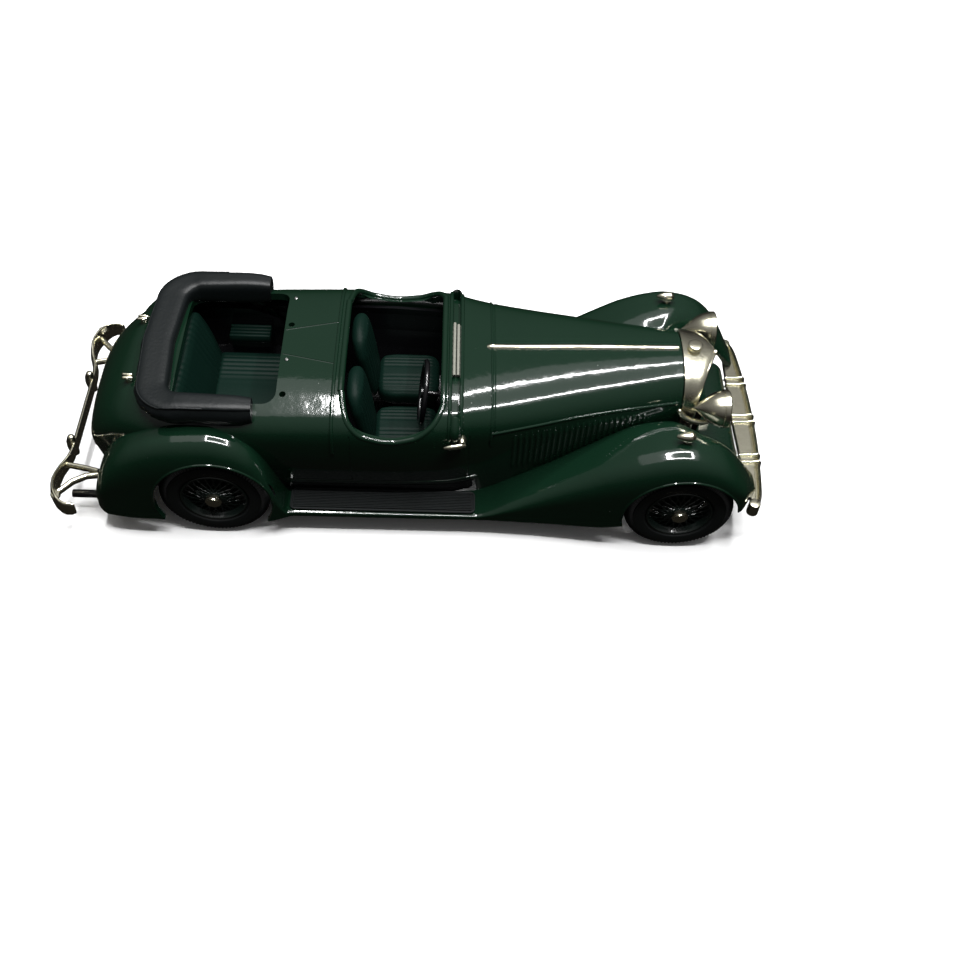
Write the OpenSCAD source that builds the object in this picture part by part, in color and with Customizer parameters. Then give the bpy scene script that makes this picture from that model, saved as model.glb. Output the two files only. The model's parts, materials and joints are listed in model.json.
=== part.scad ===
/* [Overall] */
// Distance between the front and rear axles
wheelbase = 73.2; // [73:0.1:73.6]
// Place of the rear axle along the car, with the middle of the whole car at 0
rear_axle_x = -31; // [-33:0.1:-29]
// Underside of the baseplate above the table
base_z = 3.4; // [3.2:0.1:3.4]

/* [Wheels] */
// Outer diameter of a tyre
tyre_d = 17.3; // [17:0.1:17.4]
// Width of a tyre
tyre_w = 4.2; // [3.8:0.1:4.2]
// Outer diameter of the wheel rim
rim_d = 10.6; // [10:0.1:11]
// Diameter of the axles
axle_d = 1.5; // [1.2:0.1:1.6]
// Radial clearance of the axles in their bearings
axle_play = 0.05; // [0.02:0.01:0.09]
// Outer face of the rear tyres from the centre line
rear_tyre_y = 19; // [18.9:0.1:19]
// Outer face of the front tyres from the centre line
front_tyre_y = 19.8; // [19.6:0.1:19.8]
// Wire spokes in one row of a wheel
spokes = 16; // [12:1:20]

/* [Body] */
// Thickness of the body casting
wall = 1.2; // [1:0.1:1.2]
// Height of the belt, where the body is widest
belt_z = 19.5; // [19.3:0.1:19.7]
// Front edge of the rear cockpit
rear_cockpit_x = 10.2; // [10:0.1:10.4]
// Rear edge of the front cockpit
front_cockpit_x = 20; // [19.8:0.1:20.2]
// Front edge of the front cockpit
scuttle_x = 35.6; // [35.4:0.1:35.8]
// Width of the bright strip along the bonnet
strip_w = 1.2; // [0.8:0.1:1.6]
// Louvres on each side of the bonnet
louvres = 24; // [12:1:26]

/* [Trim] */
// Diameter of a headlamp's rim
lamp_d = 6; // [5.4:0.1:6.2]
// Height of the headlamps' centres
lamp_z = 21.9; // [21.5:0.1:22.3]
// Headlamps' centres from the centre line
lamp_y = 8.8; // [8.7:0.1:9]
// Height of the middle of the front bumper
bumper_z = 9; // [8.8:0.1:9.2]
// Height of the middle of the rear bumper
rear_bumper_z = 7; // [6.8:0.1:7.2]

/* [Hidden] */

green = [0.07, 0.16, 0.11];
seat_green = [0.1, 0.22, 0.16];
nickel = [0.72, 0.7, 0.62];
charcoal = [0.14, 0.15, 0.16];
black = [0.05, 0.05, 0.05];
glass = [0.85, 0.88, 0.86, 0.5];

axle_z = tyre_d / 2;
arch_r = 9.1;                   // wheel arch in the wing's skin
well_r = 9.7;                   // wheel well behind the skin
skin = 0.9;                     // wall of the wings
handle_x = 38.4;
handle_z = 20;
stud_x = -12.9;
gap = 0.02;
rear_well_y = 14.45;            // inner walls of the wheel wells
well_wall = 0.6;
front_well_y = 15;
base_top = base_z + 0.9;
floor_z = 5.5;                  // underside of the interior tub
pan_z = 10.3;                   // underside of the raised pan under the rear seat
pan_x = 9.6;                    // front of that pan
tub_t = 0.6;
board_z = 5.5;                  // top of the running boards
seat_y = 5.8;                   // middle of a front seat
screw_x = [-13.5, 62];
screw_r = 0.8;
post_y = [3.85, 10.6];          // sockets of the rear windscreen's posts
post_x = 11.3;
slot_x = 37;                    // slot of the front windscreen
slot_w = 0.8;
prow_x = 78.2;                  // tip of the radiator's prow
shell_x = 72.75;                // rear edge of the radiator shell
cut = 40;                       // larger than any piece that is cut

// Everything is drawn with x measured from the rear axle, then placed here.
// side is -1 for the car's right and 1 for its left.
module car() translate([rear_axle_x, 0, 0]) children();
module on_side(side) mirror([0, side > 0 ? 0 : 1, 0]) children();

// ---- Smooth curves through a few stations, whose rows are [x, value] ----
function slope(rows, i) = (rows[i + 1][1] - rows[i][1]) / (rows[i + 1][0] - rows[i][0]);
function tangent(rows, i) = i == 0 ? slope(rows, 0) : i == len(rows) - 1 ? slope(rows, i - 1)
    : let (a = slope(rows, i - 1), b = slope(rows, i)) a * b <= 0 ? 0 : 2 * a * b / (a + b);
function span(rows, x, i = 0) = i >= len(rows) - 2 || x < rows[i + 1][0] ? i : span(rows, x, i + 1);
function smooth(rows, x) =
    let (i = span(rows, x), h = rows[i + 1][0] - rows[i][0],
        t = min(max((x - rows[i][0]) / h, 0), 1), u = 1 - t)
    u * u * (1 + 2 * t) * rows[i][1] + t * t * (3 - 2 * t) * rows[i + 1][1]
    + h * t * u * (u * tangent(rows, i) - t * tangent(rows, i + 1));
function mix(a, b, t) = a + (b - a) * t;
function power(v, n) = sign(v) * pow(abs(v), n);
function unit(v) = v / norm(v);

// A closed solid through rings that all have the same number of points
module loft(rings) {
    n = len(rings);
    m = len(rings[0]);
    polyhedron([for (r = rings) each r],
        concat([for (i = [0:n - 2], j = [0:m - 1])
                let (a = i * m + j, b = i * m + (j + 1) % m) each [[a, a + m, b + m], [a, b + m, b]]],
            [[for (j = [0:m - 1]) j], [for (j = [m - 1:-1:0]) (n - 1) * m + j]]));
}

// An oval ring about centre c, half as wide as a across the car and half as thick as b along
// a direction tilted up from the car's length
function oval(c, a, b, tilt, n = 2.8, m = 16) = [for (k = [0:m - 1])
    let (t = 360 * k / m, u = power(cos(t), 2 / n), v = power(sin(t), 2 / n))
    c + [b * v * cos(tilt), a * u, b * v * sin(tilt)]];

// A bar swept along points; wide and tall are half its size level and upright
module bar(points, wide, tall, m = 10) {
    n = len(points);
    loft([for (i = [0:n - 1])
        let (d = unit(points[min(i + 1, n - 1)] - points[max(i - 1, 0)]),
            s = unit(cross([0, 0, 1], d)), u = cross(d, s))
        [for (k = [0:m - 1]) points[i] + wide * cos(360 * k / m) * s + tall * sin(360 * k / m) * u]]);
}
function arc(c, r, a0, a1, steps) = [for (k = [0:steps])
    let (a = mix(a0, a1, k / steps)) c + r * [cos(a), sin(a)]];
module across(x, z, r, y0, y1) translate([x, y0, z]) rotate([-90, 0, 0]) cylinder(y1 - y0, r, r, $fn = 48);

// ---- Body form: sides that lean out up to the belt, then a rounded top ----
body_half = [[-20.9, 7.4], [-20.3, 8.8], [-19, 10.3], [-17, 11.7], [-14, 13.2], [-9, 15], [0, 15.9], [10, 16.3],
    [27, 16.4], [36, 15.7], [40, 14.7], [44, 13.9], [57, 11.2], [72.6, 8]];
body_foot = [[-20.9, 5.5], [-19, 8.8], [-15, 11.4], [-9, 12.8], [0, 13.2], [36, 13.2], [44, 12.5], [57, 10.8], [72.6, 7.8]];
body_top = [[-20.9, 9.4], [-20.5, 13.6], [-19, 17], [-16, 20.2], [-13, 22.2], [-9, 23.4], [0, 24.4],
    [10, 24.9], [20, 25.1], [36, 25.3], [43, 25.2], [57, 25.7], [72.6, 26.1]];
body_low = [[-20.9, 5.6], [-17, base_top], [72.6, base_top]];
body_square = [[-20.9, 2.4], [-9, 3], [10, 3.2], [36, 3.6], [44, 3], [57, 2.6], [72.6, 2.4]];
body_stations = [-20.9, -20.7, -20.3, -19.7, -18.5, -16.7, -14.5, -12, -9, -5, 0, 6, 13, 20,
    27, 33, 36.5, 39, 42, 46, 51, 57, 63, 68, 72.6];

function belt(x) = min(belt_z, mix(smooth(body_low, x), smooth(body_top, x), 0.65));
function skin_z(x, y) = let (n = smooth(body_square, x))
    belt(x) + (smooth(body_top, x) - belt(x)) * pow(max(1 - pow(abs(y) / smooth(body_half, x), n), 0), 1 / n);
function skin_y(x, z) = let (n = smooth(body_square, x),
        rise = max(z - belt(x), 0) / (smooth(body_top, x) - belt(x)))
    smooth(body_half, x) * pow(max(1 - pow(rise, n), 0), 1 / n);

function body_ring(x, inset, drop) =
    let (w = smooth(body_half, x) - inset, foot = smooth(body_foot, x) - inset,
        top = smooth(body_top, x) - inset, low = smooth(body_low, x) - drop,
        n = 2 / smooth(body_square, x),
        half = concat([for (s = [0:0.25:0.75]) [mix(foot, w, sin(90 * s)), mix(low, belt(x), s)]],
            [for (a = [0:15:90]) [w * power(cos(a), n), belt(x) + (top - belt(x)) * power(sin(a), n)]]))
    concat([for (p = half) [x, p[0], p[1]]],
        [for (i = [len(half) - 2:-1:0]) [x, -half[i][0], half[i][1]]]);
module body_form() loft([for (x = body_stations) body_ring(x, 0, 0)]);
module body_core(inset, x0, x1, drop)
    loft([for (x = concat([x0], [for (s = body_stations) if (s > x0 + 0.3 && s < x1 - 0.3) s], [x1]))
        body_ring(x, inset, drop)]);
module slab(x0, x1, z0, z1) translate([x0, -cut, z0]) cube([x1 - x0, 2 * cut, z1 - z0]);

// Wheel wells on both sides; grow makes them larger all round
module wells(grow) for (side = [-1, 1]) on_side(side) {
    across(0, axle_z, well_r + grow, rear_well_y - grow, rear_tyre_y + 0.3);
    across(wheelbase, axle_z, well_r + grow, front_well_y - grow, front_tyre_y + 0.3);
}
module axle_slots() for (x = [0, wheelbase]) across(x, axle_z, axle_d / 2 + 0.6, -cut, cut);

// Cockpit openings, seen from above
module opening(x0, x1, half, r) translate([0, 0, 12]) linear_extrude(cut) hull()
    for (x = [x0 + r, x1 - r], y = [r - half, half - r]) translate([x, y]) circle(r, $fn = 32);

// The door tops dip in a long curve from the tonneau to the scuttle
door_dip = [[front_cockpit_x, 24.6], [21.2, 22.6], [23.4, 20.9], [27.5, 20.1], [31, 20.7], [33.6, 22.3],
    [scuttle_x, 24.4]];
rim_xs = [for (k = [0:14]) mix(front_cockpit_x, scuttle_x, k / 14)];
module door_cut() translate([0, cut, 0]) rotate([90, 0, 0]) linear_extrude(2 * cut)
    polygon(concat([for (x = rim_xs) [x, smooth(door_dip, x)]], [[scuttle_x, 32], [front_cockpit_x, 32]]));

// Rolled edge round the front cockpit
bead = 0.5;
module cockpit_bead() {
    side = [for (x = rim_xs) let (z = smooth(door_dip, x)) [x, skin_y(x, z) - bead * 0.8, z - 0.1]];
    for (s = [-1, 1]) on_side(s) bar(side, bead, bead, 8);
    for (end = [side[0] - [0.13, 0, 0], side[len(side) - 1] + [0.13, 0, 0]])
        bar([for (k = [-4:4]) let (y = end[1] * k / 4) [end[0], y, skin_z(end[0], y) - 0.1]], bead, bead, 8);
}

// Louvres stand on the bonnet's sides, each a thin upright blister
function side_y(x, z) = z > belt(x) ? skin_y(x, z)
    : mix(smooth(body_foot, x), smooth(body_half, x), sin(90 * (z - base_top) / (belt(x) - base_top)));
module louvre(x) {
    hull() for (z = [max(12, mix(smooth(wing_valley, x), smooth(wing_crest, x), 0.65) + 0.4), 19.8, 21.4])
        translate([x, side_y(x, z) - 0.4, z]) cube([0.45, 0.6, 0.2]);
}

module body_shell() color(green) car() {
    difference() {
        union() {
            difference() {
                union() {
                    body_form();
                    // Raised band in front of the windscreen slot
                    intersection() {
                        translate([0, 0, 0.3]) body_form();
                        slab(38.1, 38.9, 18, 30);
                    }
                }
                body_core(wall, -19.5, 71.8, 3);
            }
            // Inner walls of the wheel wells, and the posts for the base screws
            intersection() {
                body_form();
                union() {
                    wells(well_wall);
                    for (x = screw_x) translate([x, 0, base_top]) cylinder(cut, 2, 2, $fn = 24);
                }
            }
        }
        wells(0);
        axle_slots();
        opening(-5.6, rear_cockpit_x, 12.2, 2);
        opening(front_cockpit_x, scuttle_x, 14.6, 2.4);
        door_cut();
        difference() {
            translate([slot_x, -14.2, 20]) cube([slot_w, 28.4, 8]);
            body_core(0.65, 34, 42, 0);
        }
        strip_form(2 * gap);
        translate([71, -6.2, 0]) cube([3, 12.4, 10.4]);
        for (side = [-1, 1]) {
            translate([stud_x, side * 6.5, 20]) cylinder(5, 0.5, 0.5, $fn = 24);
            translate([handle_x, side * 14.5, handle_z]) rotate([side > 0 ? -90 : 90, 0, 0])
                translate([0, 0, -1.5]) cylinder(3, 0.47, 0.47, $fn = 24);
        }
        for (s = post_y, side = [-1, 1]) translate([post_x, side * s, 20]) cylinder(cut, 0.5, 0.5, $fn = 24);
        for (x = screw_x) translate([x, 0, 0]) cylinder(14, screw_r, screw_r, $fn = 24);
    }
    cockpit_bead();
    for (side = [-1, 1]) on_side(side) for (k = [0:louvres - 1]) louvre(46.6 + k * 0.88);
}

// ---- Wings and running board: one casting a side, from tail to nose ----
wing_crest = [[-18.9, 6.5], [-18.4, 9.5], [-17.3, 12.4], [-15, 15.8], [-12, 18.4], [-8, 20.4], [-4, 21.3],
    [0, 21.5], [3, 20.8], [6, 19], [8, 16], [9.3, 12], [10.2, 8.2], [11.2, board_z], [41, board_z],
    [43, 6.2], [45.8, 7.9], [52, 11.8], [58, 15.5], [62, 17.9], [66, 19.9], [69.5, 21.1], [72.5, 21.6],
    [75.3, 21.2], [77.9, 20.2], [80.1, 18.5], [82.1, 16.1], [83.6, 13.9], [84.7, 12.1], [85.3, 11.2], [85.5, 10.7]];
wing_outer = [[-18.9, 17.2], [-18.4, 18.3], [-17, 19.2], [-12, 19.8], [0, 20], [8, 19.8], [10.5, 19],
    [12, 18.5], [41, 18.5], [50, 18.9], [60, 19.9], [66, 20.6], [73, 20.8], [79, 20.6], [82.5, 19.8],
    [84.3, 17.4], [85.5, 15.6]];
wing_inner = [[-18.9, 9], [-14, 11.5], [-9, 13.6], [0, 14.3], [9, 13.8], [12, 12.6], [41, 12.2], [46, 11.4],
    [58, 10.2], [66, 8.6], [71, 8.6], [76, 11], [85.5, 12.4]];
wing_valley = [[-18.9, 5.8], [-17.3, 9], [-15, 12.5], [-12, 16.5], [-8, 19.5], [-4, 21], [0, 21.3],
    [3, 20.6], [6, 18.6], [8, 15.2], [9.3, 11], [10.2, 7.4], [11.2, board_z - 0.05], [41, board_z - 0.05],
    [43, 6], [45.8, 7.3], [52, 9.7], [58, 13.2], [62, 15], [66, 16.4], [70, 16.8], [73, 16], [77, 14.5],
    [80, 13], [83, 11.9], [85.5, 10.45]];
wing_ridge = [[-18.9, 15.5], [-8, 16], [9, 16], [12, 15.5], [45, 15.2], [58, 15.8], [73, 16.4], [80, 16.2],
    [85.5, 15]];
wing_hem = [[-18.9, 5.4], [-17, 4.6], [-10, 4.5], [10, 4.4], [45, 4.5], [60, 5.2], [65, 6.5], [76, 8.6],
    [81, 9.7], [84, 10.15], [85.5, 10.15]];
wing_stations = [-18.9, -18.6, -18, -17, -15.5, -13.5, -11, -8, -5, -2, 1, 3.5, 5.5, 7, 8.2, 9.3, 10.2, 11.2,
    14, 41, 42.5, 44, 47, 50, 53, 56, 59, 62, 65, 68, 71, 74, 76.5, 79, 81, 82.5, 83.8, 84.8, 85.3, 85.5];

// t shrinks the ring for the hollow under the skin, which also runs out below
function wing_ring(x, t = 0) =
    let (top = smooth(wing_crest, x) - t, out = smooth(wing_outer, x) - t, in = smooth(wing_inner, x) - (t > 0 ? 1.5 : 0),
        valley = smooth(wing_valley, x) - t, mid = smooth(wing_ridge, x), low = smooth(wing_hem, x) - 3 * t,
        hip = mix(low, top, 0.55), n = 2 / 2.5)
    concat([[x, in, low], [x, out, low]],
        [for (a = [0:15:90]) [x, mid + (out - mid) * power(cos(a), n), hip + (top - hip) * power(sin(a), n)]],
        [for (a = [15:15:90]) [x, mid - (mid - in) * power(sin(a), n), valley + (top - valley) * power(cos(a), n)]]);
// The hollow's ends lie inside the wing's ends; c is where the wing is highest
module wing_hollow(x0, x1, c) loft([for (x = wing_stations) if (x >= x0 && x <= x1)
    let (d = skin * sign(c - x) * min(1, abs(c - x) / 5)) [for (p = wing_ring(x, skin)) p + [d, 0, 0]]]);

// Thin rolled lip round a wheel arch
module arch_lip(x, y) for (a = [10:20:150]) hull() for (b = [a, a + 20])
    translate([x, 0, axle_z]) rotate([0, -b, 0]) translate([arch_r, y - 0.6, -0.2]) cube([0.4, 0.9, 0.4]);

module wing_and_board(side) color(green) car() on_side(side) difference() {
    union() {
        loft([for (x = wing_stations) wing_ring(x)]);
        arch_lip(0, smooth(wing_outer, 0) - 0.15);
        arch_lip(wheelbase, smooth(wing_outer, wheelbase) - 0.15);
    }
    on_side(side) body_form();
    wing_hollow(-18.9, 9.3, 0);
    wing_hollow(44, 85.5, 72.5);
    for (side = [-1, 1]) on_side(side) {
        across(0, axle_z, arch_r, rear_well_y, cut);
        across(wheelbase, axle_z, arch_r, front_well_y, cut);
    }
    wells(0);
    axle_slots();
}

// ---- Apron between the front wings, ahead of the radiator ----
function apron_back(y) = max(79 - 0.42 * abs(y), 76.5);
module front_apron() color(green) car() {
    loft([for (y = [-10.9, -5.95, 0, 5.95, 10.9])
    let (b = apron_back(y)) [[b, y, 12.6], [mix(b, 83.7, 0.4), y, 12.9], [mix(b, 83.7, 0.75), y, 12.1], [83.3, y, 11],
        [83.7, y, 9.9], [83.1, y, 9.9], [82.75, y, 10.7], [mix(b, 83.7, 0.7), y, 11.5], [mix(b, 83.7, 0.4), y, 12.2],
        [b, y, 11.9]]]);
    for (side = [-1, 1]) translate([79.8, side * 3 - 0.7, base_top]) cube([1, 1.4, 8.1]);
}

// ---- Chassis ----
bearing_y = [10.2, 5];           // rear and front bearing lugs from the centre line
lug_t = 1.4;
module baseplate() color(black) car() difference() {
    union() {
        translate([0, 0, base_z]) linear_extrude(base_top - base_z)
            polygon([[-18.5, -11], [-18.5, 11], [-10, 12.4], [40, 12.4], [60, 9.8], [82, 7.5], [82, -7.5],
                [60, -9.8], [40, -12.4], [-10, -12.4]]);
        for (k = [0, 1], side = [-1, 1])
            translate([k * wheelbase - 1.8, side * bearing_y[k] - lug_t / 2, base_top]) cube([3.6, lug_t, 5.75]);
        for (x = [14, 30]) translate([x, 0, base_top]) cylinder(floor_z - base_top, 2.5, 2.5, $fn = 32);
    }
    for (k = [0, 1]) across(k * wheelbase, axle_z, axle_d / 2 + axle_play, -cut, cut);
    for (x = screw_x) translate([x, 0, base_z - gap]) {
        cylinder(2, screw_r + 0.2, screw_r + 0.2, $fn = 32);
        cylinder(0.5 + gap, 1.75, 1.75, $fn = 32);
    }
}

module base_screws() color(nickel) car() for (x = screw_x) translate([x, 0, base_z]) difference() {
    union() {
        cylinder(0.5, 1.7, 1.7, $fn = 32);
        cylinder(6.4, screw_r - 0.05, screw_r - 0.05, $fn = 32);
    }
    for (a = [0, 90]) rotate(a) translate([-1, -0.18, -gap]) cube([2, 0.36, 0.35]);
}

// ---- Interior ----
module tub_space(inset, drop) difference() {
    intersection() {
        body_core(inset, -9 + inset, 36.9 - inset, 0);
        slab(-cut, cut, floor_z + drop, 24);
    }
    slab(-cut, pan_x + inset, 0, pan_z + drop);
}
module interior_tub() color(black) car() difference() {
    tub_space(wall + 0.1, 0);
    difference() {
        tub_space(wall + 0.1 + tub_t, tub_t);
        wells(well_wall + 0.1 + tub_t);
    }
    wells(well_wall + 0.1);
    slab(-cut, cut, 19.3, cut);
}

module dashboard() color(black) car() intersection() {
    body_core(wall + 0.1, 30, 40, 0);
    translate([35.75, -13.6, 19.35]) cube([0.9, 27.2, 6]);
}

wheel_c = [32.3, -seat_y, 20.4];
rake = 7;
module steering_wheel() color(black) car() translate(wheel_c) rotate([0, 90 + rake, 0]) {
    rotate_extrude($fn = 48) translate([4.85, 0]) circle(0.42, $fn = 16);
    cylinder(0.7, 0.9, 0.9, center = true, $fn = 32);
    for (a = [0, 90]) rotate(a) cube([9.4, 0.45, 0.3], center = true);
}
module steering_column() color(black) car() difference() {
    translate(wheel_c) rotate([0, 90 + rake, 0]) translate([0, 0, 0.35]) cylinder(3.4, 0.45, 0.45, $fn = 24);
    slab(34.95, cut, 0, cut);
}

cushion_z = 11;                // middle of a front cushion
module front_seat(side) color(seat_green) car() on_side(side) {
    width = [[0, 3.6], [0.08, 4.1], [0.4, 4.7], [0.7, 4.8], [0.84, 4.3], [0.93, 3.4], [1, 1.7]];
    lean = 9.5;
    base = [23.7, seat_y, 10.6];
    loft([for (t = [1, 0.97, 0.9, 0.8, 0.65, 0.45, 0.25, 0.08, 0])
        oval(base + 13.1 * t * [-sin(lean), 0, cos(lean)], smooth(width, t),
            1.5 * smooth([[0, 0.85], [0.5, 1], [0.9, 0.9], [1, 0.45]], t), lean)]);
    plan = [[0, 2.6], [0.05, 3.9], [0.15, 4.7], [0.8, 4.8], [0.93, 4.2], [1, 3.2]];
    loft([for (t = [0, 0.05, 0.15, 0.4, 0.7, 0.86, 0.95, 1])
        oval([mix(24.5, 34.7, t), seat_y, cushion_z], smooth(plan, t),
            smooth([[0, 1.3], [0.1, 2], [0.85, 2.1], [1, 1.5]], t), 90)]);
    translate([27, seat_y - 3.6, floor_z + tub_t]) cube([7, 7.2, cushion_z - 1.9 - floor_z - tub_t]);
}

module rear_seat() color(seat_green) car() {
    width = [[0, 9.9], [0.1, 10.2], [0.6, 11.2], [0.85, 10.9], [1, 9.4]];
    lean = 20;
    loft([for (t = [1, 0.95, 0.85, 0.65, 0.4, 0.15, 0])
        oval([-2.4, 0, 11.6] + 10.4 * t * [-sin(lean), 0, cos(lean)], smooth(width, t),
            1.1 * smooth([[0, 0.9], [0.5, 1], [0.9, 0.8], [1, 0.5]], t), lean)]);
    loft([for (t = [0, 0.06, 0.3, 0.8, 0.94, 1])
        oval([mix(-1.9, 9, t), 0, 11.85], 9.9, smooth([[0, 0.6], [0.1, 0.85], [0.9, 0.85], [1, 0.6]], t), 90, 4)]);
}

module armrest(side) color(seat_green) car() on_side(side) {
    translate([-0.6, 10.1, 11]) cube([6.8, 3, 4.7]);
    for (y = [10.15:0.76:12.5]) translate([-0.6, y, 15.7]) cube([6.8, 0.6, 0.3]);
}

// ---- Folded hood: a padded U round the rear seats ----
hood_path = concat([[6.9, 13.5]], [[3.5, 13.6], [0, 13.5]], arc([-4.3, 9.2], 4.2, 90, 180, 5),
    [[-8.6, 5], [-8.7, 0]]);
hood_turn = len(hood_path) - 1;
function hood_point(k) = k <= hood_turn ? hood_path[k]
    : let (p = hood_path[2 * hood_turn - k]) [p[0], -p[1]];
function hood_ring(k, shrink) =
    let (p = hood_point(k), a = hood_point(max(k - 1, 0)), b = hood_point(min(k + 1, 2 * hood_turn)),
        d = unit(b - a), out = [d[1], -d[0]] * (-1), s = smooth([[0, 0], [3, 0.1], [9, 1]], min(k, 2 * hood_turn - k)),
        w = mix(1.9, 2.5, s) * shrink, top = mix(25.9, 25.3, s), low = mix(21.3, 22.2, s))
    [for (j = [0:15]) let (t = -22.5 * j, u = power(cos(t), 0.72), v = power(sin(t), 0.72))
        [p[0] - out[0] * w * u, p[1] - out[1] * w * u, (top + low) / 2 + (top - low) / 2 * shrink * v]];
module folded_hood() color(charcoal) car() difference() {
    loft(concat([[for (p = hood_ring(0, 0.7)) p + [0.4, 0, 0]]],
        [for (k = [0:2 * hood_turn]) hood_ring(k, 1)],
        [[for (p = hood_ring(2 * hood_turn, 0.7)) p + [0.4, 0, 0]]]));
    body_core(0, -14, 12, 0);
    for (side = [-1, 1]) on_side(side) loft([for (x = wing_stations) if (x > -15 && x < 10) wing_ring(x)]);
}
module hood_studs() color(nickel) car() for (side = [-1, 1]) translate([stud_x, side * 6.5, 21.2]) {
    cylinder(1.9, 0.48, 0.48, $fn = 24);
    translate([-0.7, -0.5, 1.5]) cube([1.9, 1, 0.5]);
}

// ---- Bright trim on the body ----
// Remains of the windscreen in its slot
module windscreen_stub() color(nickel) car() for (strip = [[slot_x + 0.19, 5.1], [slot_x + slot_w - 0.19, 3.5]])
    bar([for (k = [0:5]) let (y = mix(-6.3, strip[1], k / 5)) [strip[0], y, skin_z(strip[0], y) - 0.25]], 0.16, 0.3, 8);

module strip_form(grow) translate([0, strip_w / 2 + grow, 0]) rotate([90, 0, 0])
    linear_extrude(strip_w + 2 * grow) polygon(concat(
        [for (k = [0:6]) let (x = 42.1 + 5 * k) [x - (k == 0 ? grow : 0), smooth(body_top, x) + 0.35]],
        [for (k = [6:-1:0]) let (x = 42.1 + 5 * k) [x - (k == 0 ? grow : 0), smooth(body_top, x) - 0.35 - grow]]));
module bonnet_strip() color(nickel) car() strip_form(0);

module door_handles() color(nickel) car() for (side = [-1, 1]) on_side(side) {
    translate([handle_x, 14.1, handle_z]) rotate([-90, 0, 0]) cylinder(1.95, 0.45, 0.45, $fn = 24);
    translate([handle_x, 15.75, handle_z]) rotate([-90, 0, 0]) cylinder(0.35, 0.6, 0.6, $fn = 24);
    bar([[handle_x + 0.2, 15.95, handle_z], [37.6, 16.2, handle_z - 0.1], [36.5, 16.4, handle_z - 0.4],
        [35.4, 16.5, handle_z - 0.9]], 0.25, 0.42, 8);
}

// ---- Radiator ----
shell_half = 8;
radiator_foot = 10.8;            // clear of the front axle and its bearing lugs
cap_x = 74.7;
cap_z = 26.05;
function shell_outline(inset, foot) = concat([for (z = [foot, 18]) [shell_half - inset - (18 - z) * 0.06, z]],
    [for (a = [0:11.25:90]) [(shell_half - inset) * power(cos(a), 0.8), 20 + (6.3 - inset) * power(sin(a), 0.8)]]);
function prow(y) = prow_x - 0.42 * abs(y);
// A form with a flat back and a front that comes to an upright ridge
module prow_form(inset, back, ahead, foot) {
    half = shell_outline(inset, foot);
    k = len(half);
    round = concat(half, [for (i = [k - 2:-1:0]) [-half[i][0], half[i][1]]], [[0, half[0][1] - 0.4]]);
    m = len(round);
    rear = [for (p = round) [back, p[0], p[1]]];
    front = [for (p = round) [prow(p[0]) + ahead, p[0], p[1] - 0.6 * max(p[1] - 18, 0) / 8]];
    polyhedron(concat(rear, front), concat([for (j = [0:m - 1]) let (b = (j + 1) % m)
            each [[j, j + m, b + m], [j, b + m, b]]],
        [[for (j = [0:m - 1]) j], concat([m + m - 1], [for (j = [k - 1:-1:0]) m + j]),
            concat([for (j = [m - 1:-1:k - 1]) m + j])]));
}
module radiator_shell() color(nickel) car() difference() {
    prow_form(0, shell_x, 0, radiator_foot);
    prow_form(1, shell_x + 0.4, 1, radiator_foot - 1.2);
    translate([cap_x, 0, cap_z]) cylinder(2, 0.85 + gap, 0.85 + gap, $fn = 32);
}
module radiator_grille() color(black) car() {
    prow_form(1.03, shell_x + 0.43, -1.2, radiator_foot);
    intersection() {
        prow_form(1.03, shell_x + 0.5, -0.45, radiator_foot);
        for (side = [-1, 1], k = [0:8]) translate([72, side * (0.4 + k * 0.76) - 0.17, 9]) cube([8, 0.34, 18]);
    }
}
module radiator_cap() color(nickel) car() translate([cap_x, 0, cap_z]) {
    cylinder(0.9, 0.85, 0.85, $fn = 32);
    translate([0, 0, 0.5]) cylinder(0.5, 1.15, 1.15, $fn = 32);
}

// ---- Lamps ----
lamp_back = 74.3;
lamp_front = 79.6;
lamp_shell = [[0, 0], [0.35, 0.55], [1.2, 1.25], [2.4, 2], [3.6, 2.55], [4.6, 2.8], [lamp_front - lamp_back, lamp_d / 2 - 0.05]];
module headlamp(side) color(nickel) car() translate([lamp_back, side * lamp_y, lamp_z]) rotate([0, 90, 0])
    rotate_extrude($fn = 48) polygon(concat(lamp_shell, [[5.3, 2.6], [4.5, 2.35], [4.5, 0]]) * [[0, 1], [1, 0]]);
module lens(side) color(glass) car() translate([lamp_front - 0.8, side * lamp_y, lamp_z]) rotate([0, 90, 0])
    rotate_extrude($fn = 48) polygon([[0, 0.1], [2.3, 0.1], [2.55, 0.8], [2.2, 1.05], [1.2, 1.3], [0, 1.4]]);
module lamp_stays() color(nickel) car() for (side = [-1, 1]) on_side(side)
    bar([[72.3, 8.62, 20.9], [73, 8.95, 20], [74.4, 9.25, 19.4], [76, 9.3, 19.1], [77.3, 9.1, 19.15]], 0.55, 0.4);
module sidelights() color(nickel) car() for (side = [-1, 1]) {
    translate([70.7, side * 15.6, 22.75]) rotate([0, 90, 0]) rotate_extrude($fn = 32)
        polygon([[0, 0], [0.35, 0.35], [0.65, 1], [0.82, 2], [0.82, 2.7], [0.5, 3], [0, 3.05]]);
    translate([72.6, side * 15.6, 21.66]) cylinder(0.6, 0.45, 0.35, $fn = 24);
}

// ---- Running-board mats ----
module board_mat(side) color(charcoal) car() on_side(side) translate([11.6, 13.9, board_z]) {
    cube([29.2, 4, 0.25]);
    for (k = [0:8]) translate([0.4, 0.2 + k * 0.42, 0.25]) cube([28.4, 0.22, 0.12]);
}

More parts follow.
